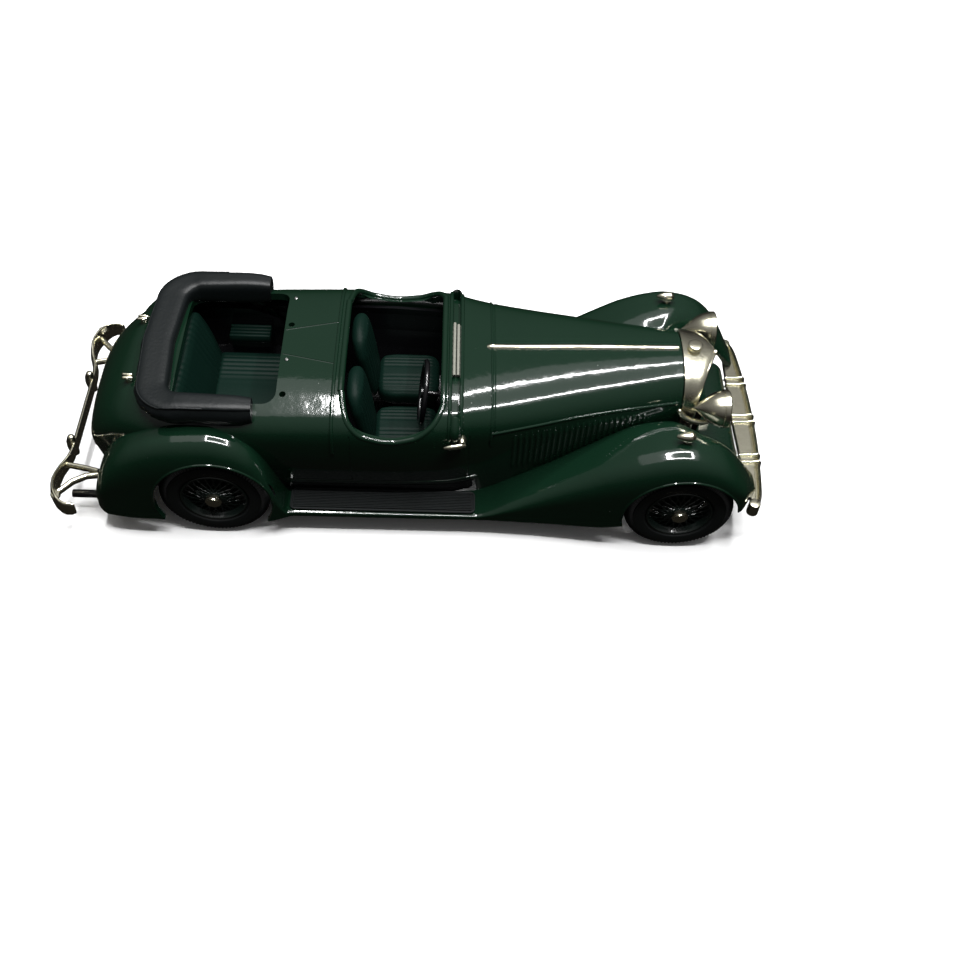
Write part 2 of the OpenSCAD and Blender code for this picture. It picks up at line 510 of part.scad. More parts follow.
// ---- Bumpers ----
front_blade = [[85.3, 18.2], [85.9, 17.4], [86.4, 15.6], [86.8, 12], [87.1, 8], [87.3, 4], [87.35, 0]];
front_rail = [[85, 17.6], [84.7, 16], [84.55, 13], [84.4, 8], [84.3, 0]];
rear_blade = [[-21.6, 20], [-23, 20.1], [-24.3, 19.2], [-25.3, 17.4], [-25.7, 15.2], [-25.3, 12.6], [-24.5, 10.4],
    [-24.2, 8], [-24.2, 0]];
function both_sides(half, z) = let (n = len(half) - 1)
    concat([for (p = half) [p[0], p[1], z]], [for (i = [n - 1:-1:0]) [half[i][0], -half[i][1], z]]);
// A bowed blade in front and a straighter rail behind, joined by a web and three pairs of clamps
module front_bumper() color(nickel) car() {
    bar(both_sides(front_blade, bumper_z), 0.5, 1.3, 12);
    bar(both_sides(front_rail, bumper_z + 0.35), 0.35, 0.6, 8);
    translate([0, 0, bumper_z + 0.15]) linear_extrude(0.5) polygon([for (p = concat(
        both_sides([for (q = front_blade) [q[0] - 0.1, q[1] - 0.4]], 0),
        [for (q = both_sides([for (q = front_rail) [q[0], q[1] - 0.4]], 0)) [q[0], -q[1]]])) [p[0], p[1]]]);
    for (y = [-8.7, 0, 8.7], s = [-0.7, 0.7])
        translate([84.45 + 0.004 * y * y, y + s - 0.22, bumper_z + 0.3]) cube([2.9 - 0.012 * y * y, 0.44, 0.85]);
    for (side = [-1, 1]) translate([85.2, side * 18, bumper_z - 1.2]) cylinder(2.4, 0.95, 0.95, $fn = 32);
}
module front_bumper_irons() color(nickel) car() for (side = [-1, 1]) on_side(side)
    translate([80.5, 6.4, bumper_z - 0.5]) {
        cube([3.45, 0.9, 1]);
        translate([0, 0, base_top - bumper_z + 0.5]) cube([1.2, 0.9, bumper_z - base_top]);
    }
module rear_bumper() color(nickel) car() {
    bar(both_sides(rear_blade, rear_bumper_z), 0.4, 1.3, 12);
    for (side = [-1, 1]) {
        translate([-24.7, side * 7.1, rear_bumper_z]) rotate_extrude($fn = 32)
            polygon([[0, -2], [0.5, -1.9], [0.85, -1.2], [0.85, 1.2], [0.5, 1.9], [0, 2]]);
        translate([-24.6, side * 18.3, rear_bumper_z]) sphere(0.6, $fn = 24);
    }
}
module rear_bumper_irons() color(nickel) car() for (side = [-1, 1]) on_side(side) {
    bar([[-19.2, 13.6, 7.2], [-21, 13.9, 7.2], [-23, 15, 7.1], [-24.6, 16.9, 7]], 0.35, 0.6, 8);
    bar([[-19.3, 12.9, 7.2], [-21.5, 12.2, 7.2], [-24.35, 11.55, 7]], 0.35, 0.6, 8);
}
module exhaust_pipe() color(black) car() translate([-23.8, -14.6, 3.8]) {
    rotate([0, 90, 0]) difference() {
        cylinder(11.5, 0.65, 0.65, $fn = 32);
        translate([0, 0, -1]) cylinder(5, 0.42, 0.42, $fn = 32);
    }
    translate([9, -0.5, 0.4]) cube([1.2, 1, 0.3]);
}

// ---- Wheels ----
module at_wheel(x, y, side) car() translate([x, side * y, axle_z]) rotate([side > 0 ? -90 : 90, 0, 0]) children();
tyre_r = tyre_d / 2;
rim_r = rim_d / 2;
// Drawn with the outer face at z = 0 and the wheel's inside below it
module tyre(x, y, side) color(black) at_wheel(x, y, side) difference() {
    rotate_extrude($fn = 96) polygon([[rim_r, -0.5], [rim_r + 0.6, -0.05], [tyre_r - 1.6, 0], [tyre_r - 0.45, -0.6],
        [tyre_r, -1.3], [tyre_r, -tyre_w + 1.3], [tyre_r - 0.45, -tyre_w + 0.6], [tyre_r - 1.6, -tyre_w],
        [rim_r + 0.6, -tyre_w + 0.05], [rim_r, -tyre_w + 0.5]]);
    for (z = [-1.6, -tyre_w / 2, -tyre_w + 1.6]) translate([0, 0, z]) rotate_extrude($fn = 96)
        translate([tyre_r - 0.15, -0.08]) square([1, 0.16]);
}
module wire_wheel(x, y, side) color(green * 0.6) at_wheel(x, y, side) {
    rotate_extrude($fn = 64) polygon([[rim_r, -0.5], [rim_r, -tyre_w + 0.5], [rim_r - 0.5, -tyre_w + 0.5],
        [rim_r - 0.9, -tyre_w / 2], [rim_r - 0.55, -0.7], [rim_r - 0.45, -0.35], [rim_r - 0.1, -0.35]]);
    difference() {
        union() {
            translate([0, 0, -tyre_w + 0.6]) cylinder(tyre_w - 0.6, 1.5, 1.1, $fn = 48);
            for (row = [0, 1], k = [0:spokes - 1]) rotate(360 * (k + row / 2) / spokes)
                translate([0.6, 0, row == 0 ? -0.9 : -3]) rotate([0, row == 0 ? 108 : 72, 0])
                    cylinder(rim_r - 1.1, 0.12, 0.12, $fn = 16);
        }
        translate([0, 0, -tyre_w]) cylinder(tyre_w - 0.5, axle_d / 2, axle_d / 2, $fn = 32);
    }
}
module hub_cap(x, y, side) color(nickel) at_wheel(x, y, side) translate([0, 0, gap]) {
    cylinder(0.5, 1.3, 1.3, $fn = 8);
    translate([0, 0, 0.5]) cylinder(0.25, 0.85, 0.6, $fn = 32);
}
module axle(x, y) color(nickel) car() across(x, axle_z, axle_d / 2, -y + 0.5, y - 0.5);

body_shell();
wing_and_board(-1);  // wing_and_board_right
wing_and_board(1);  // wing_and_board_left
front_apron();
baseplate();
base_screws();
interior_tub();
dashboard();
steering_column();
steering_wheel();
front_seat(-1);  // front_seat_right
front_seat(1);  // front_seat_left
rear_seat();
armrest(-1);  // armrest_right
armrest(1);  // armrest_left
folded_hood();
hood_studs();
windscreen_stub();
bonnet_strip();
door_handles();
radiator_shell();
radiator_grille();
radiator_cap();
headlamp(-1);  // headlamp_right
headlamp(1);  // headlamp_left
lens(-1);  // lens_right
lens(1);  // lens_left
lamp_stays();
sidelights();
board_mat(-1);  // board_mat_right
board_mat(1);  // board_mat_left
front_bumper();
front_bumper_irons();
rear_bumper();
rear_bumper_irons();
exhaust_pipe();
axle(wheelbase, front_tyre_y);  // front_axle
tyre(wheelbase, front_tyre_y, -1);  // tyre_front_right
tyre(wheelbase, front_tyre_y, 1);  // tyre_front_left
wire_wheel(wheelbase, front_tyre_y, -1);  // wire_wheel_front_right
wire_wheel(wheelbase, front_tyre_y, 1);  // wire_wheel_front_left
hub_cap(wheelbase, front_tyre_y, -1);  // hub_cap_front_right
hub_cap(wheelbase, front_tyre_y, 1);  // hub_cap_front_left
axle(0, rear_tyre_y);  // rear_axle
tyre(0, rear_tyre_y, -1);  // tyre_rear_right
tyre(0, rear_tyre_y, 1);  // tyre_rear_left
wire_wheel(0, rear_tyre_y, -1);  // wire_wheel_rear_right
wire_wheel(0, rear_tyre_y, 1);  // wire_wheel_rear_left
hub_cap(0, rear_tyre_y, -1);  // hub_cap_rear_right
hub_cap(0, rear_tyre_y, 1);  // hub_cap_rear_left
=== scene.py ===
"""Looks of a small diecast touring car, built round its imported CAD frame.

Everything is laid out in millimetres with x measured forward from the rear axle, y to the car's left and z up from
the table, as in the CAD source, and moved into the row frame when each mesh is made.
"""
import json
import math

import bmesh
import bpy
import numpy as np
from mathutils import Matrix, Vector


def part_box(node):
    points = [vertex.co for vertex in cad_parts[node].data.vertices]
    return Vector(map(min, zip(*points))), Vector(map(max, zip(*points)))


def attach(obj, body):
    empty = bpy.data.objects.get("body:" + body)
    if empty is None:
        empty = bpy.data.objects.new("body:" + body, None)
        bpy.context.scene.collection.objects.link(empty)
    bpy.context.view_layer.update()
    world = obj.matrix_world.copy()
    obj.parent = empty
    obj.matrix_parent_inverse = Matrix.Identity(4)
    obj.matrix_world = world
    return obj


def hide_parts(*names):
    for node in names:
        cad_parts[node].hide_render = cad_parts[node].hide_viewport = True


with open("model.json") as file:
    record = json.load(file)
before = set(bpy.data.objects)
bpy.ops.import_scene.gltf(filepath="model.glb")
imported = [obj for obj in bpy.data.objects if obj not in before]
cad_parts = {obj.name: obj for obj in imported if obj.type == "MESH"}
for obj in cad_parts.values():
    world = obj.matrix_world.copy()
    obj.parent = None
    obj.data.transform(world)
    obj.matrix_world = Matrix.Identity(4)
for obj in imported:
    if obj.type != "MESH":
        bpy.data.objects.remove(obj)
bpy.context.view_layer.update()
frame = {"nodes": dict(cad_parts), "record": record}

MM = 0.001
AXLES = {j["name"]: j["pos_m"] for j in frame["record"]["behaviour"]["joints"]}
REAR_X = AXLES["rear_axle_roll"][0]
WHEELBASE = (AXLES["front_axle_roll"][0] - REAR_X) / MM
AXLE_Z = AXLES["rear_axle_roll"][2] / MM
BODY = "car"
FRONT_BODY = "front_axle_assembly"
REAR_BODY = "rear_axle_assembly"


def node_mm(node):
    """Lowest and highest corner of a CAD node in this script's own millimetres."""
    lo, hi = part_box(node)
    shift = Vector((REAR_X, 0, 0))
    return (lo - shift) / MM, (hi - shift) / MM


# ---- materials
def material(name, base, rough, metallic=0.0, coat=0.0, vary=0.12, grain=0.0, grain_size=0.4, bump=0.0, specks=0.0,
             transmission=0.0, specular=0.5):
    """A procedural finish: base colour with slow variation, grain in colour and height, and optional pale dust."""
    m = bpy.data.materials.new(name)
    m.use_nodes = True
    nodes, links = m.node_tree.nodes, m.node_tree.links
    shader = nodes["Principled BSDF"]
    for socket, value in (("Roughness", rough), ("Metallic", metallic), ("Coat Weight", coat),
                          ("Coat Roughness", 0.03), ("Transmission Weight", transmission),
                          ("Specular IOR Level", specular)):
        shader.inputs[socket].default_value = value
    place = nodes.new("ShaderNodeTexCoord")

    def noise(scale, detail):
        n = nodes.new("ShaderNodeTexNoise")
        n.inputs["Scale"].default_value = scale
        n.inputs["Detail"].default_value = detail
        links.new(place.outputs["Object"], n.inputs["Vector"])
        return n.outputs["Fac"]

    def blend(factor, first, second, kind="MIX"):
        """Mixes two colours; each value is a constant or another node's output."""
        n = nodes.new("ShaderNodeMix")
        n.data_type = "RGBA"
        n.blend_type = kind
        for i, value in ((0, factor), (6, first), (7, second)):
            if isinstance(value, bpy.types.NodeSocket):
                links.new(value, n.inputs[i])
            else:
                n.inputs[i].default_value = value
        return n.outputs[2]

    colour = blend(noise(90, 3), (*[c * (1 - vary) for c in base], 1), (*[c * (1 + vary) for c in base], 1))
    if grain or bump:
        fine = noise(1 / (grain_size * MM), 4)
    if grain:
        colour = blend(grain, colour, fine, "MULTIPLY")
    if specks:
        dust = nodes.new("ShaderNodeTexVoronoi")
        dust.inputs["Scale"].default_value = 260
        ramp = nodes.new("ShaderNodeValToRGB")
        near, far = ramp.color_ramp.elements
        near.position, near.color = specks, (1, 1, 1, 1)
        far.position, far.color = specks * 1.6, (0, 0, 0, 1)
        links.new(place.outputs["Object"], dust.inputs["Vector"])
        links.new(dust.outputs["Distance"], ramp.inputs[0])
        colour = blend(ramp.outputs[0], colour, (0.09, 0.1, 0.09, 1))
    links.new(colour, shader.inputs["Base Color"])
    if bump:
        height = nodes.new("ShaderNodeBump")
        height.inputs["Strength"].default_value = bump
        height.inputs["Distance"].default_value = 0.05 * MM
        links.new(fine, height.inputs["Height"])
        links.new(height.outputs[0], shader.inputs["Normal"])
    return m


PAINT = material("glossy_green_paint", (0.0026, 0.0125, 0.0062), 0.1, coat=0.3, vary=0.06, specks=0.02,
                 bump=0.9, grain_size=2.2)
SOFT_GREEN = material("seat_green_plastic", (0.0019, 0.0095, 0.0066), 0.5, grain=0.25, bump=0.4,
                      grain_size=0.25, specular=0.07)
BLACK = material("black_plastic", (0.0025, 0.0025, 0.003), 0.2)
SATIN_BLACK = material("satin_black_plastic", (0.004, 0.004, 0.0045), 0.4, grain=0.3, specular=0.35)
HOOD = material("charcoal_hood_plastic", (0.004, 0.0056, 0.006), 0.42, grain=0.25, bump=0.7, grain_size=0.5,
                specular=0.25)
MAT = material("board_mat", (0.0125, 0.0148, 0.015), 0.6, grain=0.5, bump=0.6, grain_size=0.2, specular=0.12)
NICKEL = material("warm_nickel", (0.74, 0.71, 0.56), 0.2, metallic=1, vary=0.1, bump=0.5, grain_size=0.6)
STEEL = material("steel", (0.45, 0.45, 0.44), 0.3, metallic=1)
PALE = material("pale_plastic", (0.2, 0.2, 0.17), 0.5, grain=0.3)
LENS = material("clear_lens", (0.85, 0.88, 0.86), 0.05, transmission=0.9)
RUBBER = material("tyre_rubber", (0.008, 0.0098, 0.0098), 0.38, grain=0.3, bump=0.4, grain_size=0.3, specular=0.4)
WHEEL = material("wheel_dark_green", (0.004, 0.0075, 0.0062), 0.22, coat=0.5)


# ---- curves and meshes
def smooth(rows):
    """A function through [x, value] rows that never overshoots them."""
    xs, ys = [r[0] for r in rows], [r[1] for r in rows]
    slopes = [(ys[i + 1] - ys[i]) / (xs[i + 1] - xs[i]) for i in range(len(xs) - 1)]
    turns = [slopes[0]]
    for a, b in zip(slopes, slopes[1:]):
        turns.append(0 if a * b <= 0 else 2 * a * b / (a + b))
    turns.append(slopes[-1])

    def value(x):
        i = min(max(int(np.searchsorted(xs, x, "right")) - 1, 0), len(xs) - 2)
        h = xs[i + 1] - xs[i]
        t = min(max((x - xs[i]) / h, 0), 1)
        u = 1 - t
        return (u * u * (1 + 2 * t) * ys[i] + t * t * (3 - 2 * t) * ys[i + 1]
                + h * t * u * (u * turns[i] - t * turns[i + 1]))
    return value


def mix(a, b, t):
    return a + (b - a) * t


def turn_round(steps):
    """Angles once round, in radians."""
    return [2 * math.pi * k / steps for k in range(steps)]


def power(v, n):
    return math.copysign(abs(v) ** n, v)


def new_object(name, data):
    o = bpy.data.objects.new(name, data)
    bpy.context.scene.collection.objects.link(o)
    return o


def raw(points, faces):
    """A mesh object from points in this script's millimetres, not yet on any body."""
    data = bpy.data.meshes.new("piece")
    co = np.array(points, float) * MM
    co[:, 0] += REAR_X
    data.from_pydata(co.tolist(), [], faces)
    data.validate()
    return new_object("piece", data)


def loft(rings, closed=False):
    """A solid through rings that all have the same number of points."""
    n, m = len(rings), len(rings[0])
    pts = [p for r in rings for p in r]
    faces = [(i * m + j, i * m + (j + 1) % m, (i + 1) % n * m + (j + 1) % m, (i + 1) % n * m + j)
             for i in range(n if closed else n - 1) for j in range(m)]
    if not closed:
        faces += [tuple(range(m - 1, -1, -1)), tuple(range((n - 1) * m, n * m))]
    return raw(pts, faces)


def tube(path, radius, sides=12, tall=None, closed=False, up=(0, 0, 1), round_ends=0):
    """A bar swept along a path; radius may be one per point, and tall is half its size along up."""
    pts = [Vector(p) for p in path]
    n = len(pts)
    radii = list(radius) if hasattr(radius, "__len__") else [radius] * n
    rings = []
    for i, p in enumerate(pts):
        a = pts[(i - 1) % n] if closed or i > 0 else p
        b = pts[(i + 1) % n] if closed or i < n - 1 else p
        d = (b - a).normalized()
        s = Vector(up).cross(d)
        s = s.normalized() if s.length > 1e-6 else Vector((0, 1, 0))
        u = d.cross(s)
        scale = (tall / radii[0]) if tall else 1
        ring = [(math.cos(t), math.sin(t)) for t in turn_round(sides)]
        rings.append([p + s * (c * radii[i]) + u * (q * radii[i] * scale) for c, q in ring])
        if not closed and round_ends and i in (0, n - 1):
            end = [[p + s * (c * radii[i] * math.cos(e)) + u * (q * radii[i] * scale * math.cos(e))
                    + d * (radii[i] * round_ends * math.sin(e) * (-1 if i == 0 else 1)) for c, q in ring]
                   for e in (math.radians(30), math.radians(60), math.radians(84))]
            if i == 0:
                rings = end[::-1] + rings
            else:
                rings += end
    return loft(rings, closed)


def polar(place, axis):
    """A function from a distance along an axis, a radius and an angle to the point there."""
    a = Vector(axis).normalized()
    s = a.orthogonal().normalized()
    u = a.cross(s)
    return lambda along, r, t: Vector(place) + a * along + (s * math.cos(t) + u * math.sin(t)) * r


def revolve(profile, place, axis, steps=64, closed=False):
    """profile rows are [distance along axis, radius]; a solid of revolution about axis through place."""
    at = polar(place, axis)
    return loft([[at(along, max(r, 0.001), t) for t in turn_round(steps)] for along, r in profile], closed)


def box(lo, hi):
    x0, y0, z0 = lo
    x1, y1, z1 = hi
    return loft([[(x0, y0, z0), (x0, y1, z0), (x0, y1, z1), (x0, y0, z1)],
                 [(x1, y0, z0), (x1, y1, z0), (x1, y1, z1), (x1, y0, z1)]])


def cylinder(x, z, r, y0, y1, steps=128):
    """A rod across the car."""
    return revolve([(0, r), (y1 - y0, r)], (x, y0, z), (0, 1, 0), steps)


def prism(outline, z0, z1):
    """A solid between two heights from [x, y] points."""
    return loft([[(x, y, z0) for x, y in outline], [(x, y, z1) for x, y in outline]])


def apply_modifiers(o):
    """Puts what the modifiers make into the object's own mesh."""
    bpy.context.view_layer.update()
    data = bpy.data.meshes.new_from_object(o.evaluated_get(bpy.context.evaluated_depsgraph_get()))
    o.modifiers.clear()
    if len(data.polygons) == 0:
        raise RuntimeError("a cut left nothing")
    o.data = data
    return o


def combine(o, others, operation="DIFFERENCE"):
    """Cuts the others out of o, or joins them to it, and removes them."""
    for other in [*others, o]:
        fix_normals(other)
    for other in others:
        m = o.modifiers.new("cut", "BOOLEAN")
        m.operation = operation
        m.solver = "MANIFOLD"
        m.object = other
        apply_modifiers(o)
        bpy.data.objects.remove(other)
    return o


def fix_normals(o):
    b = bmesh.new()
    b.from_mesh(o.data)
    bmesh.ops.recalc_face_normals(b, faces=b.faces)
    b.to_mesh(o.data)
    b.free()


def join(objects):
    """One object from several separate solids."""
    b = bmesh.new()
    for o in objects:
        b.from_mesh(o.data)
        bpy.data.objects.remove(o)
    data = bpy.data.meshes.new("piece")
    b.to_mesh(data)
    b.free()
    return new_object("piece", data)


def bevel(o, width, segments=2, angle=35):
    m = o.modifiers.new("bevel", "BEVEL")
    m.width = width * MM
    m.segments = segments
    m.limit_method = "ANGLE"
    m.angle_limit = math.radians(angle)
    return apply_modifiers(o)


def finish(o, name, finish_material, cad=(), body=BODY, sharp=32):
    """Names a piece, gives it its material and body, and says which CAD nodes it stands for."""
    fix_normals(o)
    o.name = o.data.name = name
    o.data.materials.clear()
    o.data.materials.append(finish_material)
    for p in o.data.polygons:
        p.use_smooth = True
    o.data.set_sharp_from_angle(angle=math.radians(sharp))
    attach(o, body)
    if cad:
        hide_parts(*cad)
    return o


def mirrored(make):
    """The same solid on the car's right and left."""
    return join([make(-1), make(1)])


# ---- body form
BASE_TOP = 4.3
BELT = 19.5
TAIL, BONNET_END = -20.9, 72.6
half_at = smooth([[-20.9, 7.4], [-20.3, 8.8], [-19, 10.3], [-17, 11.7], [-14, 13.2], [-9, 15], [0, 15.9], [10, 16.3],
                  [27, 16.4], [36, 15.7], [40, 14.7], [44, 13.9], [57, 11.2], [72.6, 8]])
foot_at = smooth([[-20.9, 5.5], [-19, 8.8], [-15, 11.4], [-9, 12.8], [0, 13.2], [36, 13.2], [44, 12.5], [57, 10.8],
                  [72.6, 7.8]])
top_at = smooth([[-20.9, 9.4], [-20.5, 13.6], [-19, 17], [-16, 20.2], [-13, 22.2], [-9, 23.4], [0, 24.4],
                 [10, 24.9], [20, 25.1], [36, 25.3], [43, 25.2], [57, 25.7], [72.6, 26.1]])
low_at = smooth([[-20.9, 5.6], [-17, BASE_TOP], [72.6, BASE_TOP]])
square_at = smooth([[-20.9, 2.4], [-9, 3], [10, 3.2], [36, 3.6], [44, 3], [57, 2.6], [72.6, 2.4]])


def belt_at(x):
    return min(BELT, mix(low_at(x), top_at(x), 0.65))


def skin_z(x, y):
    n = square_at(x)
    return belt_at(x) + (top_at(x) - belt_at(x)) * max(1 - (abs(y) / half_at(x)) ** n, 0) ** (1 / n)


def skin_y(x, z):
    """Half-width of the body at a height."""
    b = belt_at(x)
    if z <= b:
        return mix(foot_at(x), half_at(x), math.sin(math.pi / 2 * max((z - low_at(x)) / (b - low_at(x)), 0)))
    n = square_at(x)
    return half_at(x) * max(1 - ((z - b) / (top_at(x) - b)) ** n, 0) ** (1 / n)


def body_ring(x, inset=0.0, drop=0.0):
    w, foot, top = half_at(x) - inset, foot_at(x) - inset, top_at(x) - inset
    low, b, n = low_at(x) - drop, belt_at(x), 2 / square_at(x)
    side = [(mix(foot, w, math.sin(math.pi / 2 * s)), mix(low, b, s)) for s in np.linspace(0, 1, 16)[:-1]]
    over = [(w * power(math.cos(a), n), b + (top - b) * power(math.sin(a), n))
            for a in np.linspace(0, math.pi / 2, 34)]
    half = side + over
    return [(x, y, z) for y, z in half] + [(x, -y, z) for y, z in half[-2::-1]]


def body_stations(x0, x1):
    """Close together at the tail, where the body closes."""
    tail = [TAIL + 3 * (k / 24) ** 1.8 for k in range(24)]
    rest = list(np.arange(-17.9, BONNET_END, 0.55)) + [BONNET_END]
    inner = [x for x in tail + rest if x0 + 0.2 < x < x1 - 0.2]
    return [x0] + inner + [x1]


def body_solid(inset=0.0, x0=TAIL, x1=BONNET_END, drop=0.0):
    return loft([body_ring(x, inset, drop) for x in body_stations(x0, x1)])


def rounded(x0, x1, half, r, steps=10):
    """A rectangle with round corners, seen from above."""
    corners = ((x1 - r, half - r, 0), (x0 + r, half - r, 90), (x0 + r, r - half, 180), (x1 - r, r - half, 270))
    return [(cx + r * math.cos(math.radians(a + 90 * k / steps)), cy + r * math.sin(math.radians(a + 90 * k / steps)))
            for cx, cy, a in corners for k in range(steps + 1)]


REAR_OPENING = (-5.6, 10.2, 12.2)
FRONT_OPENING = (20.0, 35.6, 14.6)
BODY_WALL = 1.2
AXLE_BORE_R = 1.35
LOUVRES, LOUVRE_X, LOUVRE_STEP = 24, 46.6, 0.88
dip_at = smooth([[20, 24.6], [21.2, 22.6], [23.4, 20.9], [27.5, 20.1], [31, 20.7], [33.6, 22.3], [35.6, 24.4]])
POSTS = ((11.2, -10.6, True), (11.2, -3.85, False), (11.2, 3.85, True), (11.2, 10.6, False))
SLOT_X = (36.75, 37.85)
SLOT_HALF = 14.1
WELL_R = 9.7
WELL_Y = {"rear": 14.45, "front": 15.0}
EDGE_R = 0.5


def section(x, y0, y1, lift=0.0, steps=48):
    """A line over the body at one station, from y0 to y1."""
    return [(x, y, skin_z(x, y) + lift) for y in np.linspace(y0, y1, steps)]


def side_line(points, lift=0.0):
    """A line on the body's left side through (x, z) points."""
    return [(x, skin_y(x, z) + lift, z) for x, z in points]


def over_body(x, low, lift=0.0, steps=60):
    """A line right over the body at one station, from height low on one side to the other."""
    b = belt_at(x)
    zs = np.linspace(low, b, 12)[:-1]
    n = 2 / square_at(x)
    arc = [((half_at(x) + lift) * power(math.cos(a), n), b + (top_at(x) + lift - b) * power(math.sin(a), n))
           for a in np.linspace(0, math.pi / 2, steps // 2)]
    half = [(skin_y(x, z) + lift, z) for z in zs] + arc
    return [(x, y, z) for y, z in half] + [(x, -y, z) for y, z in half[-2::-1]]


def well_rods(wall, reach):
    """A rod in each wheel well, out to reach, and larger all round by a wall's thickness."""
    return [cylinder(x, AXLE_Z, WELL_R + wall, *sorted((s * (y - wall), s * reach)))
            for s in (-1, 1) for x, y in ((0, WELL_Y["rear"]), (WHEELBASE, WELL_Y["front"]))]


def build_body():
    body = body_solid()
    core = body_solid(BODY_WALL, -19.5, 71.8, 3)
    bead = []
    dip_x = np.linspace(*FRONT_OPENING[:2], 60)
    side = [(x, skin_y(x, dip_at(x)) - EDGE_R * 0.8, dip_at(x) - 0.1) for x in dip_x]
    for s in (-1, 1):
        bead.append(tube([(x, s * y, z) for x, y, z in side], EDGE_R, 14, up=(0, 0, 1)))
    for x, end in ((19.87, side[0][1]), (35.5, side[-1][1])):
        bead.append(tube(section(x, -end, end, -0.12), EDGE_R, 14))
    ridges = [tube(over_body(x, low, lift), r, 10, up=(1, 0, 0)) for x, low, lift, r in
              ((18.75, 18.6, 0, 0.3), (36.45, 20.6, 0, 0.34), (38.2, 19.9, 0, 0.34), (42.9, 19.9, -0.02, 0.2))]
    edge = smooth([(43, 20.3), (50, 20.8), (56, 21.3), (64, 21.6), (72, 21.7)])
    low = smooth([[22, 9.3], [36, 9.6], [41, 10.2]])
    for s in (-1, 1):
        line = side_line([(x, edge(x)) for x in np.linspace(43, 72, 40)])
        ridges.append(tube([(x, s * y, z) for x, y, z in line], 0.22, 10))
        sill = side_line([(x, low(x)) for x in np.linspace(11, 41, 40)])
        ridges.append(tube([(x, s * y, z) for x, y, z in sill], 0.16, 8))
    # windscreen feet at the ends of the slot
    for s in (-1, 1):
        ridges.append(tube([(37.3, s * skin_y(37.3, z), z) for z in np.linspace(19.6, 23.9, 9)],
                           [0.15, 0.5, 0.8, 0.95, 1.0, 0.95, 0.9, 0.85, 0.8], 14, up=(1, 0, 0)))
    for k in range(LOUVRES):
        x = LOUVRE_X + LOUVRE_STEP * k
        bottom = max(11.3, mix(valley_at(x), crest_at(x), 0.6) + 0.2)
        for s in (-1, 1):
            line = [(x, s * (skin_y(x, z) - 0.02), z) for z in np.linspace(bottom, edge(x) - 1.0, 12)]
            ridges.append(tube(line, [0.1] + [0.3] * 10 + [0.1], 8, up=(1, 0, 0)))
    combine(body, ridges, "UNION")
    combine(body, [core])
    walls = body_solid(0.02)
    combine(walls, [join(well_rods(0.6, 19))], "INTERSECT")
    combine(body, [walls], "UNION")
    cuts = well_rods(0, 30) + [cylinder(x, AXLE_Z, AXLE_BORE_R, -30, 30, 32) for x in (0, WHEELBASE)]
    cuts.append(prism(rounded(*REAR_OPENING, 2), 12, 40))
    cuts.append(prism(rounded(*FRONT_OPENING, 2.4), 12, 40))
    dip = [(x, dip_at(x)) for x in dip_x] + [(35.6, 32), (20, 32)]
    cuts.append(loft([[(x, -30, z) for x, z in dip], [(x, 30, z) for x, z in dip]]))
    slot = box((SLOT_X[0], -SLOT_HALF, 20), (SLOT_X[1], SLOT_HALF, 30))
    combine(slot, [body_solid(0.75, 34, 42)])
    cuts.append(slot)
    for x, y, is_open in POSTS:
        r = 0.5 if is_open else 0.34
        cuts.append(revolve([(0, r), (3, r)], (x, y, skin_z(x, y) - 1.6), (0, 0, 1), 32))
    for s in (-1, 1):
        seam = [(x, s * mix(2.54, 4.6, (x - 9.98) / 8.6), 0) for x in np.linspace(10.4, 18.4, 20)]
        cuts.append(tube([(x, y, skin_z(x, y) + 0.05) for x, y, z in seam], 0.17, 8))
    cuts.append(tube(over_body(43.35, 19.9), 0.12, 8, up=(1, 0, 0)))
    for x, z0, z1 in ((21.4, 9.4, 21.2), (39.6, 10.2, 20.6)):
        for s in (-1, 1):
            door = [(x, s * (skin_y(x, z) + 0.03), z) for z in np.linspace(z0, z1, 20)]
            cuts.append(tube(door, 0.13, 8, up=(1, 0, 0)))
    combine(body, cuts)
    combine(body, bead, "UNION")
    finish(body, "body_shell_painted", PAINT, ["body_shell"])


# ---- wings and running boards
BOARD = 5.5
crest_at = smooth([[-18.9, 6.5], [-18.4, 9.5], [-17.3, 12.4], [-15, 15.8], [-12, 18.4], [-8, 20.4], [-4, 21.3],
                   [0, 21.5], [3, 20.8], [6, 19], [8, 16], [9.3, 12], [10.2, 8.2], [11.2, BOARD], [41, BOARD],
                   [43, 6.2], [45.8, 7.9], [52, 11.8], [58, 15.5], [62, 17.9], [66, 19.9], [69.5, 21.1],
                   [72.5, 21.6], [75.3, 21.2], [77.9, 20.2], [80.1, 18.5], [82.1, 16.1], [83.6, 13.9], [84.7, 12.1],
                   [85.3, 11.2], [85.5, 10.7]])
outer_at = smooth([[-18.9, 17.2], [-18.4, 18.3], [-17, 19.2], [-12, 19.8], [0, 20], [8, 19.8], [10.5, 19],
                   [12, 18.5], [41, 18.5], [50, 18.9], [60, 19.9], [66, 20.6], [73, 20.8], [79, 20.6],
                   [82.5, 19.8], [84.3, 17.4], [85.5, 15.6]])
inner_at = smooth([[-18.9, 9], [-14, 11.5], [-9, 13.6], [0, 14.3], [9, 13.8], [12, 12.6], [41, 12.2], [46, 11.4],
                   [58, 10.2], [66, 8.6], [71, 8.6], [76, 11], [85.5, 12.4]])
